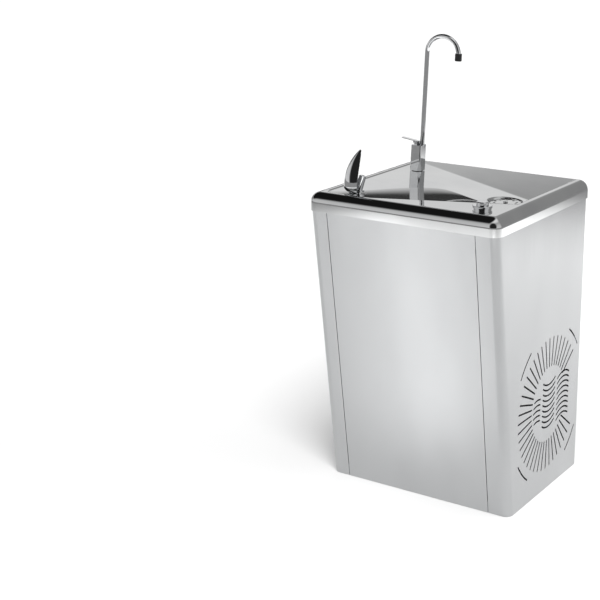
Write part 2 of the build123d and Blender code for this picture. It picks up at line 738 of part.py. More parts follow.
with BuildPart() as push_button:
    with BuildSketch(button_plane(BEZEL_TOP - 1.5)):
        Circle(BUTTON_RADIUS)
    extrude(amount=BUTTON_TOP - BEZEL_TOP + 1.5)
    fillet(push_button.edges().group_by(Axis.Z)[-1], 2.2)
    with BuildSketch(button_plane(VALVE_TOP + 1)):
        Circle(STEM_RADIUS)
    extrude(amount=BEZEL_TOP - 1.5 - VALVE_TOP - 1)
save(push_button.part, "push_button")

with BuildPart() as button_locknut:
    with BuildSketch(button_plane(DECK_UNDER - FIT)):
        RegularPolygon(BEZEL_SHANK + 6, 6)
        Circle(BEZEL_SHANK + 0.1, mode=Mode.SUBTRACT)
    extrude(amount=-6)
save(button_locknut.part, "button_locknut")

with BuildPart() as valve_body:
    with BuildSketch(button_plane(VALVE_BASE)):
        Circle(16.0)
    extrude(amount=VALVE_TOP + 6 - VALVE_BASE)
    with BuildSketch(button_plane(VALVE_TOP - 6)):
        Circle(BEZEL_SHANK + 0.1)
    extrude(amount=20, mode=Mode.SUBTRACT)
    with BuildSketch(button_plane(VALVE_BORE_LOW)):
        Circle(PLUNGER_RADIUS + 0.05)
    extrude(amount=VALVE_TOP - VALVE_BORE_LOW, mode=Mode.SUBTRACT)
    # supply port below, outlet port on the side
    with BuildSketch(button_plane(VALVE_BASE)):
        Circle(TUBE_RADIUS + 3)
    extrude(amount=-8)
    with BuildSketch(Plane(origin=(BUTTON_X, BUTTON_Y, VALVE_BASE + 17), z_dir=(-1, 0, 0))):
        Circle(TUBE_RADIUS + 3)
    extrude(amount=22)
    with BuildSketch(button_plane(VALVE_BORE_LOW)):
        Circle(PLUNGER_RADIUS + 0.05)
    extrude(amount=VALVE_TOP - VALVE_BORE_LOW, mode=Mode.SUBTRACT)
save(valve_body.part, "valve_body")

with BuildPart() as valve_plunger:
    with BuildSketch(button_plane(PLUNGER_LOW)):
        Circle(PLUNGER_RADIUS)
    extrude(amount=VALVE_TOP + 1 - PLUNGER_LOW)
save(valve_plunger.part, "valve_plunger")

SPRING_WIRE = 0.7
spring_height = PLUNGER_LOW - VALVE_BORE_LOW - 2 * SPRING_WIRE - 0.2
coil = Helix(
    pitch=spring_height / 5,
    height=spring_height,
    radius=5.2,
    center=(BUTTON_X, BUTTON_Y, VALVE_BORE_LOW + SPRING_WIRE + 0.1),
)
with BuildPart() as valve_spring:
    with BuildSketch(Plane(origin=coil @ 0, z_dir=coil % 0)):
        Circle(SPRING_WIRE)
    sweep(path=coil, is_frenet=True)
save(valve_spring.part, "valve_spring")

# ---- bubbler: mouth guard and tilted nozzle on one shank ----
spray = atan2(DRAIN_Y - BUBBLER_Y, DRAIN_X - BUBBLER_X)
SPRAY_FRAME = Plane(
    origin=BUBBLER_FRAME.origin,
    x_dir=BUBBLER_FRAME.x_dir * cos(spray) + BUBBLER_FRAME.y_dir * sin(spray),
    z_dir=BUBBLER_FRAME.z_dir,
)


def tipped(frame, spot, angle):
    """A plane at a local spot of a frame, tipped towards the frame's x axis."""
    lean = radians(angle)
    return Plane(
        origin=frame.from_local_coords(spot),
        x_dir=frame.x_dir * cos(lean) - frame.z_dir * sin(lean),
        z_dir=frame.z_dir * cos(lean) + frame.x_dir * sin(lean),
    )


GUARD_SHEET = 2.2
GUARD_BACK = 29.0
GUARD_FOOT = 1.3
# the back of the guard is one arc; its centre lies ahead of the nozzle
arc_mid_up = 17.0
arc_centre = (GUARD_ARC - GUARD_BACK, arc_mid_up)


def guard_side(shrink):
    """Side outline of the guard (ahead, up), shrunk from its outer face."""
    arc = GUARD_ARC - shrink
    front = 1.5
    low = GUARD_FOOT + shrink
    tip_up = arc_centre[1] + sqrt(arc ** 2 - (arc_centre[0] - front) ** 2)
    mid_up = (tip_up + low) / 2
    mid = (arc_centre[0] - sqrt(arc ** 2 - (mid_up - arc_centre[1]) ** 2), mid_up)
    low_back = arc_centre[0] - sqrt(arc ** 2 - (low + 9 - arc_centre[1]) ** 2)
    return (front, tip_up), mid, (low_back, low + 9), (low_back + 7, low), (-3.0, low)


def guard_form(shrink):
    """The guard's outer form, shrunk by the sheet for its hollow."""
    tip, mid, back, belly, foot = guard_side(shrink)
    side_plane = Plane(origin=SPRAY_FRAME.origin, x_dir=SPRAY_FRAME.x_dir, z_dir=-SPRAY_FRAME.y_dir)
    front_plane = Plane(origin=SPRAY_FRAME.origin, x_dir=SPRAY_FRAME.y_dir, z_dir=SPRAY_FRAME.x_dir)
    half = GUARD_HALF_WIDTH - shrink
    with BuildPart() as form:
        with BuildSketch(side_plane):
            with BuildLine():
                ThreePointArc(tip, mid, back)
                Polyline(back, belly, foot, tip)
            make_face()
        extrude(amount=40, both=True)
        with BuildSketch(front_plane.offset(-60)):
            with BuildLine():
                Line((-half, -4), (half, -4))
                Line((half, -4), (half, 22))
                Spline((half, 22), (half * 0.72, 58), (2.5, tip[1] + 3), tangents=((0, 1), (-1, 0.8)))
                Line((2.5, tip[1] + 3), (-2.5, tip[1] + 3))
                Spline((-2.5, tip[1] + 3), (-half * 0.72, 58), (-half, 22), tangents=((-1, -0.8), (0, -1)))
                Line((-half, 22), (-half, -4))
            make_face()
        extrude(amount=120, mode=Mode.INTERSECT)
    return form.part


with BuildPart() as bubbler_guard:
    add(guard_form(0))
    with BuildPart(mode=Mode.PRIVATE) as guard_hollow:
        add(guard_form(GUARD_SHEET))
        with BuildSketch(SPRAY_FRAME.offset(GUARD_FOOT + GUARD_SHEET)):
            with Locations((15 - 6.0, 0)):
                Rectangle(30, 2 * (GUARD_HALF_WIDTH - GUARD_SHEET))
        extrude(amount=60)
    add(guard_hollow.part, mode=Mode.SUBTRACT)
    # foot plate under the nozzle
    with BuildSketch(SPRAY_FRAME.offset(GUARD_FOOT)):
        Circle(13.0)
    extrude(amount=GUARD_SHEET)
    with BuildSketch(SPRAY_FRAME):
        Circle(SHANK_RADIUS + 0.1)
    extrude(amount=10, mode=Mode.SUBTRACT)
save(bubbler_guard.part, "bubbler_guard")

SHANK_LENGTH = 46.0
foot_top = GUARD_FOOT + GUARD_SHEET
with BuildPart() as bubbler_nozzle:
    with BuildSketch(SPRAY_FRAME.offset(foot_top)):
        Circle(10.5)
    extrude(amount=3.5)
    with BuildSketch(SPRAY_FRAME.offset(foot_top)):
        Circle(SHANK_RADIUS)
    extrude(amount=-SHANK_LENGTH)
    tilted = tipped(SPRAY_FRAME, (0, 0, foot_top + 2), NOZZLE_TILT)
    with BuildSketch(tilted):
        Circle(NOZZLE_RADIUS)
    extrude(amount=NOZZLE_LENGTH)
    chamfer(bubbler_nozzle.edges().group_by(Axis.Z)[-1], 1.6)
    with BuildSketch(tilted.offset(NOZZLE_LENGTH - 9)):
        Circle(2.0)
    extrude(amount=10, mode=Mode.SUBTRACT)
save(bubbler_nozzle.part, "bubbler_nozzle")

SET_SCREW_AHEAD = 20.0
with BuildPart() as guard_screw:
    spot = Plane(
        origin=BUBBLER_FRAME.from_local_coords((SET_SCREW_AHEAD, -4.0, 0)),
        x_dir=BUBBLER_FRAME.x_dir,
        z_dir=BUBBLER_FRAME.z_dir,
    )
    with BuildSketch(spot.offset(FIT)):
        Circle(4.0)
    extrude(amount=1.8)
    fillet(guard_screw.edges().group_by(Axis.Z)[-1], 1.0)
save(guard_screw.part, "guard_screw")

# ---- bottle filler: body, swivelling swan neck, collar, lever, stem, outlet cap ----
TAP_GASKET = 1.0
with BuildPart() as shank_gaskets:
    for frame in (BUBBLER_FRAME, TAP_FRAME):
        with BuildSketch(frame):
            Circle(11.0)
            Circle(SHANK_RADIUS + 0.15, mode=Mode.SUBTRACT)
        extrude(amount=TAP_GASKET)
save(shank_gaskets.part, "shank_gaskets")

with BuildPart() as shank_locknuts:
    for frame in (BUBBLER_FRAME, TAP_FRAME):
        with BuildSketch(frame.offset(-SHEET - FIT - 0.5)):
            RegularPolygon(SHANK_RADIUS + 6, 6)
            Circle(SHANK_RADIUS + 0.1, mode=Mode.SUBTRACT)
        extrude(amount=-6)
save(shank_locknuts.part, "shank_locknuts")

SPOUT_OFF = (TAP_WIDTH / 2 - 6.0, 4.5)
PIVOT_ACROSS = -3.4
STEM_ACROSS = PIVOT_ACROSS - 5.0
STEM = 2.0
PIVOT_UP = TAP_HEIGHT + 3.2
PIVOT_PIN = 1.4
EAR_INNER = LEVER_WIDTH / 2 + 0.5
EAR_THICK = 2.0
SOCKET = SPOUT_RADIUS + 2.0
SPOUT_BASE = TAP_HEIGHT - 24.0
CORNER_CUT = 6.0
LEVER_RISE = 4.8                # degrees the plate climbs towards its tip


def tap_plane(up, across=0.0, back=0.0):
    """A plane square to the tap's axis at a height above the basin."""
    origin = TAP_FRAME.from_local_coords((across, back, up))
    return Plane(origin=origin, x_dir=TAP_FRAME.x_dir, z_dir=TAP_FRAME.z_dir)


def tap_side_plane(across=0.0, back=0.0, up=0.0):
    """A plane facing along the tap's depth: x across, y up."""
    origin = TAP_FRAME.from_local_coords((across, back, up))
    return Plane(origin=origin, x_dir=TAP_FRAME.x_dir, z_dir=-TAP_FRAME.y_dir)


with BuildPart() as tap_body:
    with BuildSketch(tap_plane(TAP_GASKET)):
        RectangleRounded(TAP_WIDTH, TAP_DEPTH, 2.5)
    extrude(amount=TAP_HEIGHT - TAP_GASKET)
    # the lower front corner on the spout's side is cut away on a slant
    corner = Vector(TAP_WIDTH / 2, -TAP_DEPTH / 2, TAP_GASKET)
    low_left = corner - Vector(CORNER_CUT, 0, 0)
    low_back = corner + Vector(0, CORNER_CUT + 2, 0)
    peak = corner + Vector(0, 0, TAP_HEIGHT / 2)
    slant = (low_back - low_left).cross(peak - low_left)
    cut_plane = Plane(
        origin=TAP_FRAME.from_local_coords(low_left),
        z_dir=TAP_FRAME.from_local_coords(slant) - TAP_FRAME.origin,
    )
    keep_side = Keep.BOTTOM if slant.dot(Vector(1, -1, 0)) > 0 else Keep.TOP
    split(bisect_by=cut_plane, keep=keep_side)
    with BuildSketch(tap_plane(TAP_GASKET)):
        Circle(SHANK_RADIUS)
    extrude(amount=-SHANK_LENGTH)
    # swivel socket, and the notch that opens it to the side
    with BuildSketch(tap_plane(SPOUT_BASE, *SPOUT_OFF)):
        Circle(SPOUT_RADIUS + 0.05)
    extrude(amount=TAP_HEIGHT, mode=Mode.SUBTRACT)
    notch_plane = Plane(
        origin=TAP_FRAME.from_local_coords((SPOUT_OFF[0], SPOUT_OFF[1], TAP_HEIGHT)),
        x_dir=TAP_FRAME.y_dir,
        z_dir=TAP_FRAME.x_dir,
    )
    with BuildSketch(notch_plane):
        Polygon((-5.5, 1), (5.5, 1), (0.5, -6), (-0.5, -6), align=None)
    extrude(amount=TAP_WIDTH, mode=Mode.SUBTRACT)
    # stem guide and the pivot ears
    with BuildSketch(tap_plane(TAP_HEIGHT - 20, STEM_ACROSS)):
        Circle(STEM + 0.05)
    extrude(amount=30, mode=Mode.SUBTRACT)
    for ear in (-1, 1):
        with BuildSketch(tap_plane(TAP_HEIGHT, PIVOT_ACROSS, ear * (EAR_INNER + EAR_THICK / 2))):
            Rectangle(6.0, EAR_THICK)
        extrude(amount=6)
    with BuildSketch(tap_side_plane(PIVOT_ACROSS, 0, PIVOT_UP)):
        Circle(PIVOT_PIN + 0.02)
    extrude(amount=TAP_DEPTH, both=True, mode=Mode.SUBTRACT)
save(tap_body.part, "tap_body")

with BuildPart() as lever_pin:
    with BuildSketch(tap_side_plane(PIVOT_ACROSS, 0, PIVOT_UP)):
        Circle(PIVOT_PIN)
    extrude(amount=EAR_INNER + EAR_THICK, both=True)
save(lever_pin.part, "lever_pin")

with BuildPart() as tap_lever:
    with BuildSketch(tipped(TAP_FRAME, (0, 0, TAP_HEIGHT + 5.9), LEVER_RISE)):
        with Locations((-LEVER_LENGTH / 2, 0)):
            RectangleRounded(LEVER_LENGTH - 0.6, LEVER_WIDTH, 3.0)
    extrude(amount=1.5)
    # heel: a hub on the pin and a nose above the stem
    with BuildSketch(tap_side_plane(PIVOT_ACROSS, 0, PIVOT_UP)):
        Circle(2.8)
        Polygon((-7.4, 0), (2.8, 0), (2.8, 3.2), (-7.4, 3.6), align=None)
        Circle(PIVOT_PIN + 0.05, mode=Mode.SUBTRACT)
    extrude(amount=LEVER_WIDTH / 2, both=True)
save(tap_lever.part, "tap_lever")

with BuildPart() as tap_stem:
    with BuildSketch(tap_plane(TAP_HEIGHT - 17, STEM_ACROSS)):
        Circle(STEM)
    extrude(amount=20)
save(tap_stem.part, "tap_stem")

bend_plane = Plane(
    origin=TAP_FRAME.from_local_coords((SPOUT_OFF[0], SPOUT_OFF[1], 0)),
    x_dir=TAP_FRAME.x_dir,
    z_dir=-TAP_FRAME.y_dir,
)
with BuildPart() as tap_spout:
    with BuildLine(bend_plane) as neck:
        Line((0, SPOUT_BASE + 0.3), (0, SPOUT_RISE))
        ThreePointArc((0, SPOUT_RISE), (SPOUT_BEND, SPOUT_RISE + SPOUT_BEND), (2 * SPOUT_BEND, SPOUT_RISE))
        Line((2 * SPOUT_BEND, SPOUT_RISE), (2 * SPOUT_BEND, SPOUT_RISE - 8))
    with BuildSketch(tap_plane(SPOUT_BASE + 0.3, *SPOUT_OFF)):
        Circle(SPOUT_RADIUS)
        Circle(SPOUT_RADIUS - 0.9, mode=Mode.SUBTRACT)
    sweep(path=neck.line)
save(tap_spout.part, "tap_spout")

with BuildPart() as spout_collar:
    with BuildSketch(tap_plane(TAP_HEIGHT + FIT, *SPOUT_OFF)):
        Circle(SOCKET - 1.2)
        Circle(SPOUT_RADIUS + 0.02, mode=Mode.SUBTRACT)
    extrude(amount=1.6)
save(spout_collar.part, "spout_collar")

CAP_RADIUS = 6.9
CAP_LENGTH = 15.0
with BuildPart() as outlet_cap:
    outlet = (SPOUT_OFF[0] + 2 * SPOUT_BEND, SPOUT_OFF[1])
    with BuildSketch(tap_plane(SPOUT_RISE - 10, *outlet)):
        Circle(CAP_RADIUS)
    extrude(amount=CAP_LENGTH)
    fillet(outlet_cap.edges().group_by(Axis.Z)[-1] + outlet_cap.edges().group_by(Axis.Z)[0], 1.2)
    with BuildSketch(tap_plane(SPOUT_RISE - 8.2, *outlet)):
        Circle(SPOUT_RADIUS + 0.45)
    extrude(amount=CAP_LENGTH, mode=Mode.SUBTRACT)
    with BuildSketch(tap_plane(SPOUT_RISE - 12, *outlet)):
        Circle(SPOUT_RADIUS - 1.2)
    extrude(amount=6, mode=Mode.SUBTRACT)
save(outlet_cap.part, "outlet_cap")

# ---- sealed cooling unit on the base pan ----
PAN_TOP = PLATE
COMPRESSOR = (-95.0, 60.0)
COMPRESSOR_LOW = 28.0
COMPRESSOR_TALL = 150.0
FOOT_SPACING = 50.0
FOOT_PLATE_Z = 22.0
SUCTION_STUB = (-130.0, 100.0)
DISCHARGE_STUB = (-70.0, 130.0)
STUB_RADIUS = 5.5


def compressor_plane(z):
    """A horizontal plane on the compressor's axis."""
    return Plane(origin=(*COMPRESSOR, z))


def foot_spots():
    """The four fixing points of the compressor."""
    return GridLocations(2 * FOOT_SPACING, 2 * FOOT_SPACING, 2, 2)


with BuildPart() as compressor:
    with BuildSketch(compressor_plane(COMPRESSOR_LOW)):
        Circle(COMPRESSOR_RADIUS)
    extrude(amount=COMPRESSOR_TALL)
    fillet(compressor.edges().group_by(Axis.Z)[-1], 34)
    fillet(compressor.edges().group_by(Axis.Z)[0], 16)
    with BuildSketch(compressor_plane(FOOT_PLATE_Z)):
        RectangleRounded(2 * FOOT_SPACING + 24, 2 * FOOT_SPACING + 24, 10)
        with foot_spots():
            Circle(5.0, mode=Mode.SUBTRACT)
    extrude(amount=3)
    with BuildSketch(compressor_plane(FOOT_PLATE_Z + 3)):
        Circle(COMPRESSOR_RADIUS - 20)
    extrude(amount=COMPRESSOR_LOW - FOOT_PLATE_Z)
    for stub_x, stub_z in (SUCTION_STUB, DISCHARGE_STUB):
        reach = COMPRESSOR[1] - sqrt(COMPRESSOR_RADIUS ** 2 - (stub_x - COMPRESSOR[0]) ** 2)
        with BuildSketch(Plane(origin=(stub_x, reach - 6.5, stub_z), z_dir=(0, 1, 0))):
            Circle(STUB_RADIUS)
        extrude(amount=16)
save(compressor.part, "compressor")

with BuildPart() as compressor_grommets:
    with BuildSketch(compressor_plane(PAN_TOP)):
        with foot_spots():
            Circle(11.0)
        with foot_spots():
            Circle(4.2, mode=Mode.SUBTRACT)
    extrude(amount=FOOT_PLATE_Z - PAN_TOP)
save(compressor_grommets.part, "compressor_grommets")

with BuildPart() as compressor_studs:
    with BuildSketch(compressor_plane(PAN_TOP)):
        with foot_spots():
            Circle(4.0)
    extrude(amount=32)
    with BuildSketch(compressor_plane(FOOT_PLATE_Z + 3)):
        with foot_spots():
            RegularPolygon(7.5, 6)
    extrude(amount=6)
save(compressor_studs.part, "compressor_studs")

with BuildPart() as terminal_cover:
    with BuildSketch(Plane.XY.offset(80)):
        with Locations((COMPRESSOR[0] + COMPRESSOR_RADIUS + 11, COMPRESSOR[1])):
            RectangleRounded(21, 44, 4)
    extrude(amount=52)
save(terminal_cover.part, "terminal_cover")

# ---- condenser: serpentine coil, fins, end plates, shroud and fan ----
COIL_X = 160.0
COIL_TUBE = 4.75
COIL_LOW = 85.0
COIL_PITCH = 26.0
COIL_PASSES = 8
COIL_FRONT = -45.0
COIL_REAR = 150.0
LINE_Y = -70.0
LINE_Z = 320.0
SHROUD_X = 118.0
SHROUD_TOP = 292.0
SHROUD_FRONT = -57.0
SHROUD_BACK = 162.0
FIN_COUNT = 16
FIN_PITCH = 11.0
FIN_THICK = 0.8
END_PLATES = (COIL_FRONT + 15.5, COIL_REAR - 14.0)
coil_top = COIL_LOW + COIL_PITCH * (COIL_PASSES - 1)

serpentine = [(100.0, LINE_Y, LINE_Z), (COIL_X, LINE_Y, LINE_Z), (COIL_X, LINE_Y, coil_top)]
for n in range(COIL_PASSES - 1):
    turn_y = COIL_REAR if n % 2 == 0 else COIL_FRONT
    for level in (n, n + 1):
        serpentine.append((COIL_X, turn_y, coil_top - level * COIL_PITCH))
serpentine += [(COIL_X, LINE_Y, COIL_LOW), (60.0, LINE_Y, COIL_LOW)]
condenser_coil = tube(serpentine, COIL_TUBE, COIL_PITCH / 2 - 0.5)
save(condenser_coil, "condenser_coil")


def coil_holes(margin):
    """Holes for the passes of the coil in the current sketch."""
    centre = (COIL_LOW + coil_top) / 2
    with Locations((COIL_X, centre)):
        with GridLocations(1, COIL_PITCH, 1, COIL_PASSES):
            Circle(COIL_TUBE + margin, mode=Mode.SUBTRACT)


with BuildPart() as condenser_fins:
    for n in range(FIN_COUNT):
        fin_y = (END_PLATES[0] + END_PLATES[1]) / 2 + (n - (FIN_COUNT - 1) / 2) * (FIN_PITCH - 0.4)
        with BuildSketch(Plane.XZ.offset(-fin_y)):
            with Locations((COIL_X, (COIL_LOW + coil_top) / 2)):
                Rectangle(40, coil_top - COIL_LOW + 30)
            coil_holes(0.1)
        extrude(amount=FIN_THICK)
save(condenser_fins.part, "condenser_fins")

with BuildPart() as condenser_end_plates:
    for place in END_PLATES:
        with BuildSketch(Plane.XZ.offset(-place)):
            with Locations((COIL_X, (PAN_TOP + SHROUD_TOP - PLATE) / 2)):
                Rectangle(44, SHROUD_TOP - 2 * PLATE - PAN_TOP + PLATE)
            coil_holes(0.2)
        extrude(amount=PLATE)
save(condenser_end_plates.part, "condenser_end_plates")

FAN_Z = 180.0
FAN_OPENING = 102.0
FAN_Y = (SHROUD_FRONT + SHROUD_BACK) / 2
shroud_depth = SHROUD_BACK - SHROUD_FRONT
with BuildPart() as fan_shroud:
    with BuildSketch(Plane.YZ.offset(SHROUD_X)):
        with Locations((FAN_Y, (PAN_TOP + SHROUD_TOP) / 2)):
            Rectangle(shroud_depth, SHROUD_TOP - PAN_TOP)
        with Locations((FAN_Y, FAN_Z)):
            Circle(FAN_OPENING, mode=Mode.SUBTRACT)
    extrude(amount=PLATE)
    for edge in (SHROUD_FRONT + PLATE / 2, SHROUD_BACK - PLATE / 2):
        with BuildSketch(Plane.XY.offset(PAN_TOP)):
            with Locations((SHROUD_X + 11, edge)):
                Rectangle(22, PLATE)
        extrude(amount=SHROUD_TOP - PAN_TOP)
    with BuildSketch(Plane.XY.offset(SHROUD_TOP - PLATE)):
        with Locations((SHROUD_X + 32, FAN_Y)):
            Rectangle(64, shroud_depth)
    extrude(amount=PLATE)
save(fan_shroud.part, "fan_shroud")

HUB_RADIUS = 22.0
BLADE_COUNT = 5
SHAFT = 3.0


def fan_plane(x):
    """An upright plane square to the fan's axis."""
    return Plane.YZ.offset(x).shift_origin((x, FAN_Y, FAN_Z))


with BuildPart() as fan_blade:
    with BuildSketch(fan_plane(92)):
        Circle(HUB_RADIUS)
    extrude(amount=19)
    blade_spin = Axis((0, FAN_Y, FAN_Z), (1, 0, 0))
    with BuildPart(mode=Mode.PRIVATE) as one_blade:
        with BuildSketch(Plane(origin=(101.5, FAN_Y, FAN_Z), x_dir=(0, 1, 0), z_dir=(0.0, 0.0, 1.0))):
            Rectangle(62, 1.6, rotation=24)
        extrude(amount=FAN_RADIUS)
        with BuildSketch(fan_plane(80)):
            Circle(FAN_RADIUS)
            Circle(HUB_RADIUS - 3, mode=Mode.SUBTRACT)
        extrude(amount=60, mode=Mode.INTERSECT)
    for n in range(BLADE_COUNT):
        add(one_blade.part.rotate(blade_spin, n * 360 / BLADE_COUNT))
    with BuildSketch(fan_plane(92)):
        Circle(SHAFT)
    extrude(amount=30, both=True, mode=Mode.SUBTRACT)
save(fan_blade.part, "fan_blade")

with BuildPart() as fan_shaft:
    with BuildSketch(fan_plane(70)):
        Circle(SHAFT)
    extrude(amount=42)
save(fan_shaft.part, "fan_shaft")

MOTOR_RADIUS = 36.0
with BuildPart() as fan_motor:
    with BuildSketch(fan_plane(38)):
        Circle(MOTOR_RADIUS)
    extrude(amount=50)
    fillet(fan_motor.edges().group_by(Axis.X)[-1], 8)
    with BuildSketch(fan_plane(69)):
        Circle(SHAFT + 0.05)
    extrude(amount=30, mode=Mode.SUBTRACT)
save(fan_motor.part, "fan_motor")

with BuildPart() as fan_motor_bracket:
    with BuildSketch(Plane.YZ.offset(38)):
        with Locations((FAN_Y, (PAN_TOP + FAN_Z + 30) / 2)):
            Rectangle(56, FAN_Z + 30 - PAN_TOP)
    extrude(amount=-PLATE)
    with BuildSketch(Plane.XY.offset(PAN_TOP)):
        with Locations((38 + 12 - PLATE, FAN_Y)):
            Rectangle(24, 56)
    extrude(amount=PLATE)
save(fan_motor_bracket.part, "fan_motor_bracket")

# ---- chilled tank in its foam, with the evaporator wound round it ----
TANK = (-90.0, 60.0)
TANK_LOW = 262.0
TANK_TOP = 440.0
TANK_WALL = 2.0
FOAM_LOW = 240.0
FOAM_TOP = 465.0
WIND_RADIUS = 65.0
WIND_TUBE = 4.6
WIND_LOW = 290.0
WIND_TURNS = 7
WIND_PITCH = 16.0
TAP_FEED = (-60.0, 60.0)
FEED_HOLE = 5.5
foam_inner = WIND_RADIUS + WIND_TUBE + 0.6


def tank_plane(z):
    """A horizontal plane on the tank's axis."""
    return Plane(origin=(*TANK, z))


def upright(spot, z):
    """A horizontal plane at a point of the plan."""
    return Plane(origin=(*spot, z))


wind_top = WIND_LOW + WIND_TURNS * WIND_PITCH
front_port_y = TANK[1] - foam_inner

with BuildPart() as cold_tank:
    with BuildSketch(tank_plane(TANK_LOW)):
        Circle(TANK_RADIUS)
    extrude(amount=TANK_TOP - TANK_LOW)
    fillet(cold_tank.edges().group_by(Axis.Z)[-1] + cold_tank.edges().group_by(Axis.Z)[0], 12)
    with BuildSketch(tank_plane(TANK_LOW + TANK_WALL)):
        Circle(TANK_RADIUS - TANK_WALL - 8)
    extrude(amount=TANK_TOP - TANK_LOW - 2 * TANK_WALL, mode=Mode.SUBTRACT)
    with BuildSketch(tank_plane(TANK_LOW + 12)):
        Circle(TANK_RADIUS - TANK_WALL)
    extrude(amount=TANK_TOP - TANK_LOW - 24, mode=Mode.SUBTRACT)
    for spot, z in ((TANK, TANK_LOW - 1), (TANK, TANK_TOP - 6), (TAP_FEED, TANK_TOP - 6)):
        with BuildSketch(upright(spot, z)):
            Circle(TUBE_RADIUS - 1)
        extrude(amount=8, mode=Mode.SUBTRACT)
save(cold_tank.part, "cold_tank")

winding = Helix(
    pitch=WIND_PITCH,
    height=wind_top - WIND_LOW,
    radius=WIND_RADIUS,
    center=(*TANK, WIND_LOW),
).rotate(Axis((*TANK, 0), (0, 0, 1)), -90)
with BuildPart() as evaporator_coil:
    with BuildSketch(Plane(origin=winding @ 0, z_dir=winding % 0)):
        Circle(WIND_TUBE)
    sweep(path=winding, is_frenet=True)
save(evaporator_coil.part, "evaporator_coil")

with BuildPart() as tank_insulation:
    with BuildSketch(tank_plane(FOAM_LOW)):
        Circle(foam_inner + INSULATION)
    extrude(amount=FOAM_TOP - FOAM_LOW)
    with BuildSketch(tank_plane(TANK_LOW - FIT)):
        Circle(foam_inner)
    extrude(amount=TANK_TOP - TANK_LOW + 2 * FIT, mode=Mode.SUBTRACT)
    for spot, z in ((TANK, FOAM_LOW), (TANK, TANK_TOP - 5), (TAP_FEED, TANK_TOP - 5)):
        with BuildSketch(upright(spot, z)):
            Circle(FEED_HOLE)
        extrude(amount=40, mode=Mode.SUBTRACT)
    for z, hole in ((wind_top, FEED_HOLE), (WIND_LOW, 2.0)):
        with BuildSketch(Plane(origin=(TANK[0], front_port_y + 10, z), z_dir=(0, -1, 0))):
            Circle(hole)
        extrude(amount=INSULATION + 20, mode=Mode.SUBTRACT)
save(tank_insulation.part, "tank_insulation")

SHELF_FRONT = -30.0
with BuildPart() as tank_shelf:
    shelf_left = -(HALF_WIDTH - INSIDE - PLATE - FIT)
    shelf_rear = BACK_PANEL_FRONT - PLATE - 2 * FIT
    with BuildSketch(Plane.XY.offset(FOAM_LOW - PLATE)):
        with Locations(((shelf_left + 2) / 2, (SHELF_FRONT + shelf_rear) / 2)):
            Rectangle(2 - shelf_left, shelf_rear - SHELF_FRONT)
        with Locations(TANK):
            Circle(FEED_HOLE, mode=Mode.SUBTRACT)
    extrude(amount=PLATE)
    with BuildSketch(Plane.XZ.offset(-shelf_rear)):
        with Locations(((shelf_left + 2) / 2, FOAM_LOW - 12)):
            Rectangle(2 - shelf_left, 24)
    extrude(amount=PLATE)
save(tank_shelf.part, "tank_shelf")

DRIER_RADIUS = 10.0
with BuildPart() as filter_drier:
    with BuildSketch(Plane(origin=(-30 + FIT, LINE_Y, COIL_LOW), z_dir=(1, 0, 0))):
        Circle(DRIER_RADIUS)
    extrude(amount=90 - 2 * FIT)
    chamfer(filter_drier.edges().group_by(Axis.X)[-1] + filter_drier.edges().group_by(Axis.X)[0], 5)
save(filter_drier.part, "filter_drier")

SUCTION_Y = -95.0
stub_face = {}
for name, (stub_x, stub_z) in (("suction", SUCTION_STUB), ("discharge", DISCHARGE_STUB)):
    reach = COMPRESSOR[1] - sqrt(COMPRESSOR_RADIUS ** 2 - (stub_x - COMPRESSOR[0]) ** 2)
    stub_face[name] = (stub_x, reach - 6.5 - FIT, stub_z)
discharge = [
    stub_face["discharge"],
    (DISCHARGE_STUB[0], LINE_Y, DISCHARGE_STUB[1]),
    (DISCHARGE_STUB[0], LINE_Y, LINE_Z),
    (100.0 - FIT, LINE_Y, LINE_Z),
]
suction = [
    (TANK[0], TANK[1] - WIND_RADIUS - WIND_TUBE - FIT, wind_top),
    (TANK[0], SUCTION_Y, wind_top),
    (SUCTION_STUB[0], SUCTION_Y, wind_top),
    (SUCTION_STUB[0], SUCTION_Y, SUCTION_STUB[1]),
    stub_face["suction"],
]
CAPILLARY = 1.2
CAPILLARY_Y = -48.0
capillary = [
    (-30.0, LINE_Y, COIL_LOW),
    (-48.0, LINE_Y, COIL_LOW),
    (-48.0, CAPILLARY_Y, COIL_LOW),
    (-48.0, CAPILLARY_Y, WIND_LOW),
    (TANK[0], CAPILLARY_Y, WIND_LOW),
    (TANK[0], TANK[1] - WIND_RADIUS - WIND_TUBE - FIT, WIND_LOW),
]
refrigerant_runs = [
    tube(discharge, TUBE_RADIUS, 16),
    tube(suction, TUBE_RADIUS, 16),
    tube(capillary, CAPILLARY, 8),
]
with BuildPart() as refrigerant_tubes:
    add(refrigerant_runs)
save(refrigerant_tubes.part, "refrigerant_tubes")

# ---- water side ----
INLET = (INLET_X, INLET_Y)
INLET_TOP = 60.0
with BuildPart() as inlet_valve:
    with BuildSketch(upright(INLET, 0)):
        Circle(INLET_THREAD)
    extrude(amount=26)
    with BuildSketch(upright(INLET, PAN_TOP + 8)):
        RegularPolygon(16, 6)
    extrude(amount=10)
    with BuildSketch(upright(INLET, 24)):
        Circle(13)
    extrude(amount=INLET_TOP - 24)
    fillet(inlet_valve.edges().group_by(Axis.Z)[-1], 3)
    with BuildSketch(Plane(origin=(*INLET, 42), z_dir=(1, 0, 0))):
        Circle(6)
    extrude(amount=24)
    with BuildSketch(Plane(origin=(INLET_X + 24, INLET_Y, 42), z_dir=(1, 0, 0))):
        Rectangle(20, 9)
    extrude(amount=2.5)
    with BuildSketch(upright(INLET, 0)):
        Circle(INLET_THREAD - 3.5)
    extrude(amount=22, mode=Mode.SUBTRACT)
save(inlet_valve.part, "inlet_valve")

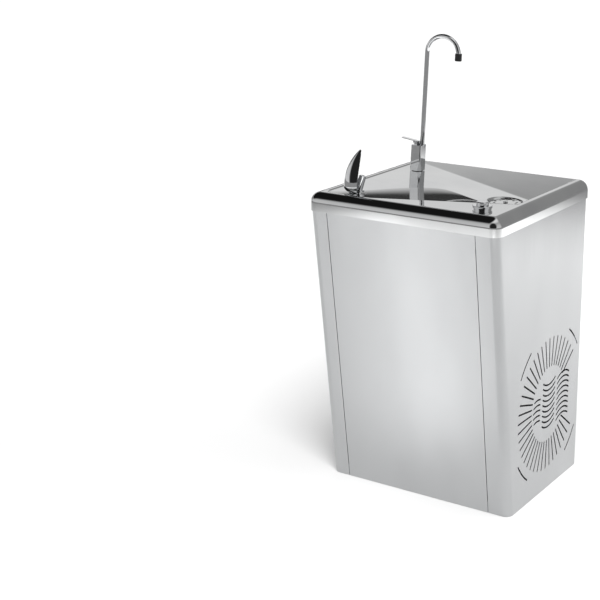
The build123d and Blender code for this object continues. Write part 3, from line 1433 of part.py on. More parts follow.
FEED_Z = 215.0
CROSS_Z = LID_TOP - 102.0
TAP_FEED_Z = LID_TOP - 72.0
BUBBLER_FEED_Z = LID_TOP - 82.0
valve_port_z = VALVE_BASE + 17.0
tap_low = TAP_FRAME.from_local_coords((0, 0, TAP_GASKET - SHANK_LENGTH))
bubbler_low = SPRAY_FRAME.from_local_coords((0, 0, foot_top - SHANK_LENGTH))
port_x = BUTTON_X - 22.0 - FIT
inlet_run = [
    (INLET_X, INLET_Y, INLET_TOP + FIT),
    (INLET_X, INLET_Y, FEED_Z),
    (*TANK, FEED_Z),
    (*TANK, TANK_LOW - FIT),
]
button_run = [
    (*TANK, TANK_TOP + FIT),
    (*TANK, CROSS_Z),
    (TANK[0], BUTTON_Y, CROSS_Z),
    (BUTTON_X, BUTTON_Y, CROSS_Z),
    (BUTTON_X, BUTTON_Y, VALVE_BASE - 8 - FIT),
]
bubbler_run = [
    (port_x, BUTTON_Y, valve_port_z),
    (20.0, BUTTON_Y, valve_port_z),
    (20.0, BUTTON_Y, BUBBLER_FEED_Z),
    (bubbler_low.X, bubbler_low.Y, BUBBLER_FEED_Z),
    (bubbler_low.X, bubbler_low.Y, bubbler_low.Z - FIT),
]
tap_run = [
    (*TAP_FEED, TANK_TOP + FIT),
    (*TAP_FEED, TAP_FEED_Z),
    (tap_low.X, tap_low.Y, TAP_FEED_Z),
    (tap_low.X, tap_low.Y, tap_low.Z - FIT),
]
water_runs = [
    tube(inlet_run, TUBE_RADIUS, 20),
    tube(button_run, TUBE_RADIUS, 14),
    tube(bubbler_run, TUBE_RADIUS, 10),
    tube(tap_run, TUBE_RADIUS, 7),
]
with BuildPart() as water_tubes:
    add(water_runs)
save(water_tubes.part, "water_tubes")

# ---- control and cable entry ----
THERMOSTAT = (110.0, 360.0)
with BuildPart() as thermostat:
    with BuildSketch(Plane.XY.offset(THERMOSTAT[1] - 30)):
        with Locations((THERMOSTAT[0], BACK_PANEL_FRONT - FIT - 15)):
            Rectangle(40, 30)
    extrude(amount=60)
    knob_face = Plane(origin=(THERMOSTAT[0], BACK_PANEL_FRONT - FIT - 30, THERMOSTAT[1]), z_dir=(0, -1, 0))
    with BuildSketch(knob_face):
        Circle(3.0)
    extrude(amount=12)
save(thermostat.part, "thermostat")

with BuildPart() as thermostat_knob:
    knob_face = BACK_PANEL_FRONT - FIT - 31
    with BuildSketch(Plane(origin=(THERMOSTAT[0], knob_face, THERMOSTAT[1]), z_dir=(0, -1, 0))):
        Circle(12.0)
        with PolarLocations(12.0, 12):
            Circle(1.2, mode=Mode.SUBTRACT)
    extrude(amount=13)
    with BuildSketch(Plane(origin=(THERMOSTAT[0], knob_face, THERMOSTAT[1]), z_dir=(0, -1, 0))):
        Circle(3.05)
    extrude(amount=11.5, mode=Mode.SUBTRACT)
save(thermostat_knob.part, "thermostat_knob")

CABLE_HOLE = 4.0
GLAND_FLANGE = 11.0
with BuildPart() as cable_gland:
    with BuildSketch(Plane(origin=(GLAND_X, BACK_PANEL_FRONT - 8, GLAND_Z), z_dir=(0, 1, 0))):
        Circle(GLAND_BODY)
    extrude(amount=18)
    with BuildSketch(Plane(origin=(GLAND_X, BACK_PANEL_REAR + FIT, GLAND_Z), z_dir=(0, 1, 0))):
        Circle(GLAND_FLANGE)
    extrude(amount=4)
    with BuildSketch(Plane(origin=(GLAND_X, BACK_PANEL_FRONT - 3, GLAND_Z), z_dir=(0, 1, 0))):
        RegularPolygon(GLAND_FLANGE, 6)
    extrude(amount=-4 + 6.7)
    with BuildSketch(Plane(origin=(GLAND_X, BACK_PANEL_FRONT - 10, GLAND_Z), z_dir=(0, 1, 0))):
        Circle(CABLE_HOLE)
    extrude(amount=40, mode=Mode.SUBTRACT)
save(cable_gland.part, "cable_gland")
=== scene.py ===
# %% [markdown]
# # A wall-hung drinking fountain
#
# A steel cabinet with a folded lid and a shallow basin on top. A hooded bubbler and a push button
# serve a drinker, and a swan-neck tap fills bottles. The CAD frame gives every piece its size and
# place, and this lesson gives each one its finish. Three pieces are made again here, because their
# soft, flowing surfaces are what the eye reads first: the basin, the mouth guard and the swan neck.

# %% Load the frame
import json
import math

import bmesh
import bpy
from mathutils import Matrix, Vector
from mathutils.geometry import delaunay_2d_cdt
from mathutils.kdtree import KDTree


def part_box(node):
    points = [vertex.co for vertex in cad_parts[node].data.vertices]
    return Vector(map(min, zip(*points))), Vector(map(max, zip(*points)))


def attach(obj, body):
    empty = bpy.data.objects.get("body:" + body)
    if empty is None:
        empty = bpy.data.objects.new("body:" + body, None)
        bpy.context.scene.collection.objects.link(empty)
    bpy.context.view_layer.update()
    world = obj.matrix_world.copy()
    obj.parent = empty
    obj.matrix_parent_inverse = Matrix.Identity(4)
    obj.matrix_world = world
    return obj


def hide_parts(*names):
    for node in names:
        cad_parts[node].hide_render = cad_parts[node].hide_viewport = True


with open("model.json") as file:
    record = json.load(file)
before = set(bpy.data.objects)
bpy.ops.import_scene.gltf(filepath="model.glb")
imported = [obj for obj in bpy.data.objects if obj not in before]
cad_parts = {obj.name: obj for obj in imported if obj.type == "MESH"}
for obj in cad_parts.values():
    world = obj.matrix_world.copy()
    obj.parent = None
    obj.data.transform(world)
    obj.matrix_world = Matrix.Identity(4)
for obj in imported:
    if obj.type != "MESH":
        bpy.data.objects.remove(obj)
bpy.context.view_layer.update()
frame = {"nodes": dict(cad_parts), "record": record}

nodes = frame["nodes"]
MM = 0.001

# %% [markdown]
# ## Small helpers
#
# A finish is a handful of shader nodes, so one function adds a node with its settings and links.
# Colours are written as the hex values a paint chart would give and turned to linear light once.


# %% Colour, node and material helpers
def linear(hex_code):
    """An sRGB hex colour as linear RGBA."""
    values = [int(hex_code[i : i + 2], 16) / 255 for i in (1, 3, 5)]
    return [v / 12.92 if v <= 0.04045 else ((v + 0.055) / 1.055) ** 2.4 for v in values] + [1.0]


def add_node(tree, kind, settings=None, **links):
    """One shader node: settings are attributes or input values, links are sockets to join."""
    made = tree.nodes.new(kind)
    for key, value in (settings or {}).items():
        if hasattr(made, key):
            setattr(made, key, value)
        else:
            made.inputs[key].default_value = value
    for key, source in links.items():
        wanted = key.replace("_", " ").lower()
        target = next(s for s in made.inputs if s.name.lower() == wanted and s.enabled)
        tree.links.new(source, target)
    return made


def new_finish(name, **sockets):
    """A Principled material named for a real finish, with its constant sockets set."""
    finish = bpy.data.materials.new(name)
    finish.use_nodes = True
    shader = finish.node_tree.nodes["Principled BSDF"]
    for key, value in sockets.items():
        shader.inputs[key.replace("_", " ")].default_value = value
    return finish, finish.node_tree, shader


def grain(tree, size_mm, stretch=(1, 1, 1), detail=3.0):
    """Noise whose grains are size_mm across, drawn out by the stretch factors."""
    place = add_node(tree, "ShaderNodeTexCoord")
    scale = add_node(
        tree,
        "ShaderNodeMapping",
        {"Scale": [1000 / size_mm / s for s in stretch]},
        vector=place.outputs["Object"],
    )
    settings = {"Scale": 1.0, "Detail": detail}
    noise = add_node(tree, "ShaderNodeTexNoise", settings, vector=scale.outputs[0])
    return noise.outputs["Fac"]


def spread(tree, source, low, high):
    """Maps the useful middle of a noise to a range of values."""
    mapped = add_node(
        tree,
        "ShaderNodeMapRange",
        {"From Min": 0.3, "From Max": 0.7, "To Min": low, "To Max": high},
        value=source,
    )
    return mapped.outputs["Result"]


def tone(tree, source, dark, light):
    """Mixes two hex colours by a noise."""
    ramp = add_node(tree, "ShaderNodeValToRGB", fac=source)
    ramp.color_ramp.elements[0].position = 0.3
    ramp.color_ramp.elements[1].position = 0.7
    ramp.color_ramp.elements[0].color = linear(dark)
    ramp.color_ramp.elements[1].color = linear(light)
    return ramp.outputs["Color"]


def relief(tree, shader, source, strength, depth_mm):
    """Raises the surface by a pattern."""
    settings = {"Strength": strength, "Distance": depth_mm * MM}
    bump = add_node(tree, "ShaderNodeBump", settings, height=source)
    tree.links.new(bump.outputs[0], shader.inputs["Normal"])


print("helpers ready, mid grey is", round(linear("#808080")[0], 3), "in linear light")

# %% [markdown]
# ## Cabinet steel
#
# The cabinet is stainless sheet with a satin brushed finish. The belt runs up and down, so the
# grain lines are upright: fine scratches a few tenths of a millimetre apart. They are too fine to
# show at this distance, so they are drawn about 1 mm wide. Brushing spreads a reflection across
# the grain, which makes the wide soft light bands down the front.

# %% Brushed cabinet steel
brushed_steel, tree, shader = new_finish("Satin brushed stainless sheet", Metallic=1.0)
lines = grain(tree, 1.0, (1, 1, 220), 3.0)
clouds = grain(tree, 90.0, (1, 1, 3), 2.0)
tree.links.new(tone(tree, clouds, "#adaeaf", "#b3b4b5"), shader.inputs["Base Color"])
tree.links.new(spread(tree, lines, 0.19, 0.25), shader.inputs["Roughness"])
relief(tree, shader, lines, 0.02, 0.01)
print("finish", brushed_steel.name)

# %% [markdown]
# ## Basin steel
#
# The lid is the same alloy, pressed and polished. It is nearly a mirror, a little milky from
# cleaning, so the studio shows in it as soft clear shapes.

# %% Polished basin steel
polished_steel, tree, shader = new_finish("Polished pressed stainless lid", Metallic=1.0)
wipes = grain(tree, 14.0, (3, 1, 1), 5.0)
clouds = grain(tree, 70.0, (1, 1, 1), 2.0)
tree.links.new(tone(tree, clouds, "#d2d3d4", "#dadbdb"), shader.inputs["Base Color"])
tree.links.new(spread(tree, wipes, 0.04, 0.07), shader.inputs["Roughness"])
print("finish", polished_steel.name)

# %% [markdown]
# ## Chrome fittings
#
# The taps and the button are brass plated with bright chrome: the smoothest finish here, with
# black and white side by side. A trace of roughness keeps the highlights from looking cut out.

# %% Bright chrome
bright_chrome, tree, shader = new_finish("Bright chrome plate", Metallic=1.0)
smear = grain(tree, 6.0, (1, 1, 1), 3.0)
tree.links.new(tone(tree, smear, "#dcdddf", "#e4e5e6"), shader.inputs["Base Color"])
tree.links.new(spread(tree, smear, 0.03, 0.06), shader.inputs["Roughness"])
print("finish", bright_chrome.name)

# %% [markdown]
# ## The hidden metals
#
# Inside and behind the cabinet the sheet is galvanised, the pipes are drawn copper and the valves
# are turned brass. Each gets a colour that wanders a little and a roughness that follows it.


# %% Galvanised sheet, zinc, copper, brass, aluminium and wire
def plain_metal(name, dark, light, rough, size_mm, stretch=(1, 1, 1)):
    """A metal with a slightly uneven tone and polish."""
    finish, tree, shader = new_finish(name, Metallic=1.0)
    pattern = grain(tree, size_mm, stretch, 4.0)
    tree.links.new(tone(tree, pattern, dark, light), shader.inputs["Base Color"])
    tree.links.new(spread(tree, pattern, rough[0], rough[1]), shader.inputs["Roughness"])
    relief(tree, shader, pattern, 0.05, 0.05)
    return finish


galvanised, tree, shader = new_finish("Hot-dip galvanised sheet", Metallic=0.85)
place = add_node(tree, "ShaderNodeTexCoord")
# zinc freezes in flat crystals, the spangle, about 9 mm across
spangle = add_node(tree, "ShaderNodeTexVoronoi", {"Scale": 1000 / 9.0}, vector=place.outputs["Object"])
tree.links.new(tone(tree, spangle.outputs["Color"], "#8f9496", "#b3b7b8"), shader.inputs["Base Color"])
tree.links.new(spread(tree, spangle.outputs["Color"], 0.38, 0.55), shader.inputs["Roughness"])
zinc_plate = plain_metal("Bright zinc-plated screws", "#b9bab3", "#cfd0c8", (0.25, 0.4), 2.0)
drawn_copper = plain_metal("Drawn copper tube", "#b06a4a", "#d08c68", (0.2, 0.38), 12.0)
turned_brass = plain_metal("Turned brass", "#b8964e", "#d2b26c", (0.2, 0.35), 1.5, (4, 4, 1))
mill_aluminium = plain_metal("Mill-finish aluminium fin", "#b7b9bb", "#cfd1d2", (0.3, 0.45), 8.0)
spring_wire = plain_metal("Hard-drawn steel wire", "#8d8f92", "#a9abad", (0.25, 0.35), 1.0)
print("hidden metals", 6)

# %% [markdown]
# ## Paint, rubber, plastics and foam
#
# These are the matt pieces. Rubber and foam scatter light from a rough skin, moulded plastic keeps
# a low sheen with a fine texture, and the compressor's baked paint has a slight orange peel.


# %% Non-metals
def plain_skin(name, dark, light, rough, size_mm, depth_mm):
    """A non-metal with a moulded or sprayed skin."""
    finish, tree, shader = new_finish(name, IOR=1.5)
    pattern = grain(tree, size_mm)
    tree.links.new(tone(tree, pattern, dark, light), shader.inputs["Base Color"])
    tree.links.new(spread(tree, pattern, rough[0], rough[1]), shader.inputs["Roughness"])
    relief(tree, shader, pattern, 0.3, depth_mm)
    return finish


baked_paint = plain_skin("Baked black paint", "#131315", "#1b1b1e", (0.25, 0.35), 2.5, 0.02)
moulded_rubber = plain_skin("Moulded black rubber", "#0c0c0d", "#161617", (0.42, 0.6), 1.2, 0.03)
black_plastic = plain_skin("Black moulded nylon", "#141416", "#1d1d1f", (0.4, 0.5), 1.0, 0.03)
white_plastic = plain_skin("White moulded polypropylene", "#dcdcd8", "#e6e6e2", (0.35, 0.45), 2.0, 0.02)
closed_foam = plain_skin("Closed-cell foam", "#1c1c1d", "#2a2a2b", (0.8, 0.95), 1.5, 0.2)
print("non-metals", 5)

# %% [markdown]
# ## Giving each piece its finish
#
# Every piece of the frame belongs to a slot of the record, such as chrome or brass. The slot picks
# the material, so pieces of one finish stay alike.

# %% Finish the frame's pieces
FINISHES = {
    "cabinet_steel": brushed_steel,
    "basin_steel": polished_steel,
    "chrome": bright_chrome,
    "galvanised": galvanised,
    "zinc_screws": zinc_plate,
    "brass": turned_brass,
    "copper": drawn_copper,
    "aluminium_fins": mill_aluminium,
    "spring_steel": spring_wire,
    "black_paint": baked_paint,
    "foam": closed_foam,
    "rubber": moulded_rubber,
    "black_plastic": black_plastic,
    "white_plastic": white_plastic,
}
for entry in frame["record"]["subparts"]:
    piece = nodes[entry["node"]]
    piece.data.materials.clear()
    piece.data.materials.append(FINISHES[entry["material_slot"]])
# the inside of the waste is coloured near black as painted shade, which is why the strainer's holes look
# black
waste_painted_shade_steel = plain_metal("Waste steel in painted shade", "#2c2b29", "#3a3936", (0.45, 0.6), 5.0)
nodes["drain_body"].data.materials[0] = waste_painted_shade_steel
print("finished pieces", len(nodes))

# %% [markdown]
# ## The lid and basin
#
# The lid is one pressing. Its narrow rim rolls over at the front and sides into a short skirt, and
# its rear end is cut square against the wall. Inside the rim the floor is two flat facets that lean
# to the drain, a raised flat deck at the front right carries the button, and a wide shallow cove
# joins the deck to the floor. Polished metal shows every ripple, so the surface is written as one
# height function and its exact slopes become the normals.

# %% Sizes of the lid
lid_low, lid_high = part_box("basin_top")
TOP = lid_high.z / MM
SKIRT_LOW = lid_low.z / MM - 3.5
HALF_X = lid_high.x / MM
FRONT_Y, REAR_Y = lid_low.y / MM, lid_high.y / MM
ROLL = 20.0
SHEET = 1.2
LEFT, RIGHT = -178.0, 178.0
RECESS_FRONT = -171.5
FACET_X, FACET_Y = -163.0, 176.5
CORNER = 18.0
STEP = 2.0
SIDE_FALL, REAR_FALL = 0.045, 0.099
DECK_X, DECK_SLOPE = -75.0, 0.399
DECK_LEAN = math.hypot(1.0, DECK_SLOPE)
DRAIN = (120.0, -1.5)
DRAIN_HOLE = 18.8
SUMP, SUMP_Z = 33.0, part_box("drain_gasket")[0].z / MM
print("lid", round(HALF_X * 2, 1), "x", round(REAR_Y - FRONT_Y, 1), "top", round(TOP, 2))


# %% Height of the basin at any point
def smooth_max(a, b, width):
    """The larger of two heights, with the crease between them rounded."""
    h = max(width - abs(a - b), 0.0) / width
    return max(a, b) + h * h * width / 4


def ease(t):
    """A smooth step from 0 to 1."""
    t = min(max(t, 0.0), 1.0)
    return t * t * (3 - 2 * t)


def facets(x, y):
    """The two flat facets of the floor."""
    side = TOP - STEP - SIDE_FALL * (x - FACET_X)
    rear = TOP - STEP - REAR_FALL * (FACET_Y - y)
    return smooth_max(side, rear, 0.35)


def deck_place(x, y):
    """Distance along the deck's edge and outwards from it."""
    across, ahead = x - DECK_X, y - RECESS_FRONT
    return (across + DECK_SLOPE * ahead) / DECK_LEAN, (ahead - DECK_SLOPE * across) / DECK_LEAN


COVE_WIDE, COVE_END, COVE_MID = 143.0, 34.0, 105.0
COVE_REACH_LEFT, COVE_REACH_RIGHT = 137.0, 87.0
COVE_BEND = 0.5


def cove_width(along):
    """The cove is a lens: widest in the middle, narrow at both ends."""
    reach = COVE_REACH_LEFT if along < COVE_MID else COVE_REACH_RIGHT
    return COVE_END + (COVE_WIDE - COVE_END) * math.exp(-(((along - COVE_MID) / reach) ** 2))


def floor(x, y):
    """The floor with its cove and deck, before the walls."""
    along, out = deck_place(x, y)
    if out <= 0:
        return TOP
    wide = cove_width(along)
    t = out / wide
    if t >= 1:
        return facets(x, y)
    far_x = DECK_X + (along - DECK_SLOPE * wide) / DECK_LEAN
    far_y = RECESS_FRONT + (DECK_SLOPE * along + wide) / DECK_LEAN
    drop = TOP - facets(far_x, far_y)
    return TOP - drop * ((1 + COVE_BEND) * t - COVE_BEND * t * t)


def wall_distance(x, y):
    """How far a point lies inside the recess, which is open towards the rear."""
    qx = max(LEFT - x, x - RIGHT) + CORNER
    qy = RECESS_FRONT - y + CORNER
    return CORNER - math.hypot(max(qx, 0), max(qy, 0)) - min(max(qx, qy), 0)


def height(x, y):
    """The finished top surface."""
    low = floor(x, y)
    inside = wall_distance(x, y)
    wall = 3.5 + 0.7 * (TOP - low)
    level = TOP + (low - TOP) * ease((inside + 1.0) / wall)
    away = math.hypot(x - DRAIN[0], y - DRAIN[1])
    if away < SUMP + 1.2:
        level = SUMP_Z + (level - SUMP_Z) * ease((away - SUMP + 2.0) / 3.2)
    return level


print("floor at the drain", round(height(DRAIN[0] + 40, DRAIN[1]), 2), "sump", round(SUMP_Z, 2))

# %% [markdown]
# The mesh needs close points only where the surface turns: along the wall, the deck's edge, the
# cove's rim and the drain. A Delaunay net joins those rows to a coarse grid between them.


# %% Points of the top surface
def outline(inset, pitch=3.0):
    """Points along the recess outline, inset from it, from the left rear round to the right rear."""
    points = [(LEFT + inset, REAR_Y)]
    radius = CORNER - inset
    for cx, start in ((LEFT + CORNER, 180), (RIGHT - CORNER, 270)):
        for k in range(13):
            a = math.radians(start + 90 * k / 12)
            points.append((cx + radius * math.cos(a), RECESS_FRONT + CORNER + radius * math.sin(a)))
    points.append((RIGHT - inset, REAR_Y))
    filled = []
    for (x0, y0), (x1, y1) in zip(points, points[1:]):
        parts = max(1, round(math.hypot(x1 - x0, y1 - y0) / pitch))
        filled += [(x0 + (x1 - x0) * k / parts, y0 + (y1 - y0) * k / parts) for k in range(parts)]
    return filled


# %% Border and close rows of points
FLAT_X = HALF_X - ROLL
FLAT_FRONT, FLAT_REAR = FRONT_Y + ROLL, REAR_Y
GRID = 4.0
count_x = round(2 * FLAT_X / GRID)
count_y = round((FLAT_REAR - FLAT_FRONT) / GRID)
border = [(-FLAT_X + 2 * FLAT_X * k / count_x, FLAT_FRONT) for k in range(count_x)]
border += [(FLAT_X, FLAT_FRONT + (FLAT_REAR - FLAT_FRONT) * k / count_y) for k in range(count_y)]
border += [(FLAT_X - 2 * FLAT_X * k / count_x, FLAT_REAR) for k in range(count_x)]
border += [(-FLAT_X, FLAT_REAR - (FLAT_REAR - FLAT_FRONT) * k / count_y) for k in range(count_y)]

rows = []
for inset in (-1.5, -0.5, 0.5, 1.6, 2.8, 4.2, 6.0, 8.5, 11.0, 14.0, 17.0):
    rows += outline(inset)
for ring in (19.0, 25.0, 29.0, 31.0, 31.6, 32.2, 32.8, 33.4, 34.2, 36.0, 39.0):
    rows += [
        (DRAIN[0] + ring * math.cos(a / 120 * math.tau), DRAIN[1] + ring * math.sin(a / 120 * math.tau))
        for a in range(120)
    ]
for along in range(-100, 290, 3):
    for out in (-2.0, 0.0, 2.0, cove_width(along) - 2.0, cove_width(along), cove_width(along) + 2.0):
        rows.append(
            (
                DECK_X + (along - DECK_SLOPE * out) / DECK_LEAN,
                RECESS_FRONT + (DECK_SLOPE * along + out) / DECK_LEAN,
            )
        )
for k in range(-5, 114):
    crease_x = FACET_X + 3 * k
    crease_y = FACET_Y - SIDE_FALL * (crease_x - FACET_X) / REAR_FALL
    rows += [(crease_x, crease_y + off) for off in (-2.5, 0.0, 2.5)]


def usable(x, y, edge=1.0):
    """Inside the flat top and outside the drain's hole."""
    inside = abs(x) < FLAT_X - edge and FLAT_FRONT + edge < y < FLAT_REAR - edge
    return inside and math.hypot(x - DRAIN[0], y - DRAIN[1]) > DRAIN_HOLE + 0.1


# %% Choose the points
kept = list(border)
taken = set()
for x, y in rows:
    cell = (round(x / 0.9), round(y / 0.9))
    if usable(x, y) and cell not in taken:
        taken.add(cell)
        kept.append((x, y))
close_points = KDTree(len(kept))
for n, (x, y) in enumerate(kept):
    close_points.insert((x, y, 0), n)
close_points.balance()
for i in range(1, count_x):
    for j in range(1, count_y):
        x = -FLAT_X + 2 * FLAT_X * i / count_x
        y = FLAT_FRONT + (FLAT_REAR - FLAT_FRONT) * j / count_y
        if usable(x, y) and close_points.find((x, y, 0))[2] > 1.8:
            kept.append((x, y))
print("points of the basin", len(kept))

# %% Join the points into a net
net = delaunay_2d_cdt([Vector(p) for p in kept], [], [list(range(len(border)))], 1, 1e-5)
lid = bmesh.new()
top_verts = [lid.verts.new((p.x * MM, p.y * MM, height(p.x, p.y) * MM)) for p in net[0]]
for face in net[2]:
    middle = sum((net[0][n] for n in face), Vector((0, 0))) / len(face)
    if math.hypot(middle.x - DRAIN[0], middle.y - DRAIN[1]) > DRAIN_HOLE:
        lid.faces.new([top_verts[n] for n in face])
print("net faces", len(lid.faces))

# %% [markdown]
# The rim rolls over the front and the sides. A section of the roll, the skirt and the sheet's inner
# side is swept along the border, and it fans out round the two front corners.

# %% Rolled edge and skirt
edge_line = []
for x, y in border[-count_y:] + border[: count_x + count_y + 1]:
    on_side, on_front = abs(abs(x) - FLAT_X) < 1e-6, abs(y - FLAT_FRONT) < 1e-6
    if on_side and on_front:
        start = 180 if x < 0 else 270
        fan = [start + 90 * k / 10 for k in range(11)]
    elif on_side:
        fan = [180 if x < 0 else 360]
    else:
        fan = [270]
    edge_line += [(x, y, math.radians(a)) for a in fan]
turns = [math.radians(t) for t in range(0, 91, 6)]
section = [(ROLL * math.sin(t), TOP - ROLL * (1 - math.cos(t))) for t in turns]
section += [(ROLL, z) for z in (TOP - ROLL - 4, SKIRT_LOW + 0.6)]
section += [(ROLL - 0.3, SKIRT_LOW), (ROLL - SHEET + 0.3, SKIRT_LOW), (ROLL - SHEET, SKIRT_LOW + 0.6)]
section += [(ROLL - SHEET, TOP - ROLL)]
strips = []
for out, z in section:
    places = [(x + out * math.cos(a), y + out * math.sin(a), z) for x, y, a in edge_line]
    strips.append([lid.verts.new([value * MM for value in place]) for place in places])
for near, far in zip(strips, strips[1:]):
    for k in range(len(edge_line) - 1):
        lid.faces.new((near[k], far[k], far[k + 1], near[k + 1]))
bmesh.ops.remove_doubles(lid, verts=lid.verts, dist=1e-6)
bmesh.ops.dissolve_degenerate(lid, dist=1e-7, edges=lid.edges)
bmesh.ops.recalc_face_normals(lid, faces=lid.faces)
print("edge strips", len(strips))

# %% Square rear end
# it has corners of its own, so its edge stays sharp
rear_line = [(x, height(x, y)) for x, y in border[count_x + count_y : 2 * count_x + count_y + 1]]
outer_edge = [(out, z) for out, z in section if out > ROLL - 0.5 or z > TOP - ROLL + 0.1][1:]
rear_line += [(-FLAT_X - out, z) for out, z in outer_edge]
rear_line += [(FLAT_X + out, z) for out, z in reversed(outer_edge)]
rear_verts = [lid.verts.new((x * MM, REAR_Y * MM, z * MM)) for x, z in rear_line]
lid.faces.new(rear_verts)
rear_count = len(rear_verts)
lid_mesh = bpy.data.meshes.new("basin_lid")
lid.to_mesh(lid_mesh)
lid.free()
print("rear corners", rear_count)


# %% Exact normals for the polish
def surface_normal(x, y, reach=0.4):
    """The upright normal of the height function."""
    dx = (height(x + reach, y) - height(x - reach, y)) / (2 * reach)
    dy = (height(x, y + reach) - height(x, y - reach)) / (2 * reach)
    return Vector((-dx, -dy, 1)).normalized()


def edge_normal(x, y, z):
    """The normal of the rolled edge and the skirt."""
    over = Vector((x - min(max(x, -FLAT_X), FLAT_X), y - min(max(y, FLAT_FRONT), FLAT_REAR), 0))
    up = max(z - (TOP - ROLL), 0.0)
    inner = over.length < ROLL - 0.9 and z < TOP - ROLL + 0.01
    return (-over if inner else Vector((over.x, over.y, up))).normalized()


# %% Polish and place the lid
lid_mesh.shade_smooth()
normals = []
for v in lid_mesh.vertices[:-rear_count]:
    x, y, z = (c / MM for c in v.co)
    flat = abs(x) <= FLAT_X + 1e-4 and FLAT_FRONT - 1e-4 <= y <= FLAT_REAR + 1e-4
    normals.append(surface_normal(x, y) if flat else edge_normal(x, y, z))
normals += [Vector((0, 1, 0))] * rear_count
lid_mesh.normals_split_custom_set_from_vertices(normals)
lid_mesh.materials.append(polished_steel)
basin_lid = bpy.data.objects.new("basin_lid", lid_mesh)
bpy.context.scene.collection.objects.link(basin_lid)
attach(basin_lid, "cabinet")
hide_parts("basin_top")
print("basin faces", len(lid_mesh.polygons))

# %% [markdown]
# ## The mouth guard
#
# The guard is a chromed hood, open towards the drain, that keeps mouths off the nozzle. Its back
# is one long curve up to a blunt tip, its belly is round, and its wall is 2 mm thick. Level by level
# a U-shaped section is laid down, wide at the belly and closing to the tip, and skinned inside and out.


# %% Local frames on the sloping floor
def sloped_frame(x, y):
    """Origin and axes of a fitting that stands square to the side facet."""
    up = Vector((SIDE_FALL, 0, 1)).normalized()
    along = Vector((1, 0, -SIDE_FALL)).normalized()
    return Vector((x, y, TOP - STEP - SIDE_FALL * (x - FACET_X))), along, Vector((0, 1, 0)), up


def to_world(base, ahead, aside, up):
    """A local point of a frame, in metres of the row frame."""
    origin, along, across, rise = base
    return (origin + along * ahead + across * aside + rise * up) * MM


origin, along_x, along_y, rise = sloped_frame(-124.0, -134.5)
spray = math.atan2(DRAIN[1] + 134.5, DRAIN[0] + 124.0)
spray_x = along_x * math.cos(spray) + along_y * math.sin(spray)
spray_y = along_y * math.cos(spray) - along_x * math.sin(spray)
guard_base = (origin, spray_x, spray_y, rise)
print("spray leans", round(math.degrees(spray), 1), "degrees from +X")

# %% Outline of the guard by level
GUARD_WALL = 2.0
GUARD_HALF = 17.0
BACK_ARC, BACK_CENTRE, BACK_MID = 96.0, 67.0, 17.0
FOOT, BELLY = 1.3, 12.0


def guard_back(up):
    """How far the back stands behind the nozzle's axis."""
    level = max(up, BELLY)
    arc = BACK_CENTRE - math.sqrt(BACK_ARC**2 - (level - BACK_MID) ** 2)
    tuck = math.sqrt(max(1 - ((BELLY - up) / 13.5) ** 2, 0)) if up < BELLY else 1.0
    return arc * tuck


def guard_front(up):
    """Where the side walls end towards the drain."""
    return -3.3 + 4.8 * ease((up - 22) / 58)


def guard_half(up):
    """Half the width of the hood."""
    tuck = math.sqrt(max(1 - ((BELLY - up) / 16.0) ** 2, 0)) if up < BELLY else 1.0
    narrow = 1 - ease((up - 14) / 95) ** 0.9
    close = math.sqrt(max(1 - max((up - 62) / 24, 0) ** 2, 0.0))
    return GUARD_HALF * tuck * narrow * close


def guard_section(up, wall, turns=16):
    """U-shaped section at a level, offset inwards by the wall."""
    front, back = guard_front(up), min(guard_back(up) + wall, guard_front(up) - 0.4)
    half = max(guard_half(up) - wall, 0.25)
    loop = []
    for k in range(turns + 1):
        a = math.radians(-90 + 180 * k / turns)
        bow = math.copysign(abs(math.sin(a)) ** 0.85, math.sin(a))
        reach = math.cos(a) ** 0.8 if 0 < k < turns else 0
        loop.append((front - (front - back) * reach, half * bow, up))
    return loop


# %% Skin the guard inside and out
inner_levels = [3.3, 5, 7.5, 10.5, 14, 19, 25, 32, 39, 46, 53, 60, 66, 71, 75, 78.5, 81]
outer_levels = [FOOT, 2.0] + inner_levels + [83, 84.3]
hood = bmesh.new()


def lay(levels, wall):
    """Rows of vertices for one skin of the hood."""
    return [[hood.verts.new(to_world(guard_base, *p)) for p in guard_section(u, wall)] for u in levels]


outer, inner = lay(outer_levels, 0.0), lay(inner_levels, GUARD_WALL)
for skin in (outer, inner):
    for low_row, high_row in zip(skin, skin[1:]):
        for k in range(len(low_row) - 1):
            hood.faces.new((low_row[k], low_row[k + 1], high_row[k + 1], high_row[k]))
print("guard skins", len(hood.faces), "faces")

# %% Close the guard's edges, foot and tip
first = outer_levels.index(inner_levels[0])
for side in (0, -1):
    for n in range(len(inner_levels) - 1):
        low_outer, high_outer = outer[first + n][side], outer[first + n + 1][side]
        hood.faces.new((low_outer, high_outer, inner[n + 1][side], inner[n][side]))
hood.faces.new(outer[0])
hood.faces.new(inner[0])
plate_front = [row[0] for row in outer[: first + 1]] + [inner[0][0], inner[0][-1]]
plate_front += [row[-1] for row in reversed(outer[: first + 1])]
hood.faces.new(plate_front)
crown = outer[first + len(inner_levels) - 1 :]
for side in (0, -1):
    hood.faces.new([row[side] for row in crown] + [inner[-1][len(inner[-1]) // 2], inner[-1][side]])
bmesh.ops.contextual_create(hood, geom=inner[-1])
hood.faces.new(outer[-1])
bmesh.ops.remove_doubles(hood, verts=hood.verts, dist=2e-5)
bmesh.ops.dissolve_degenerate(hood, dist=1e-6, edges=hood.edges)
bmesh.ops.recalc_face_normals(hood, faces=hood.faces)
hood_mesh = bpy.data.meshes.new("mouth_guard")
hood.to_mesh(hood_mesh)
hood.free()

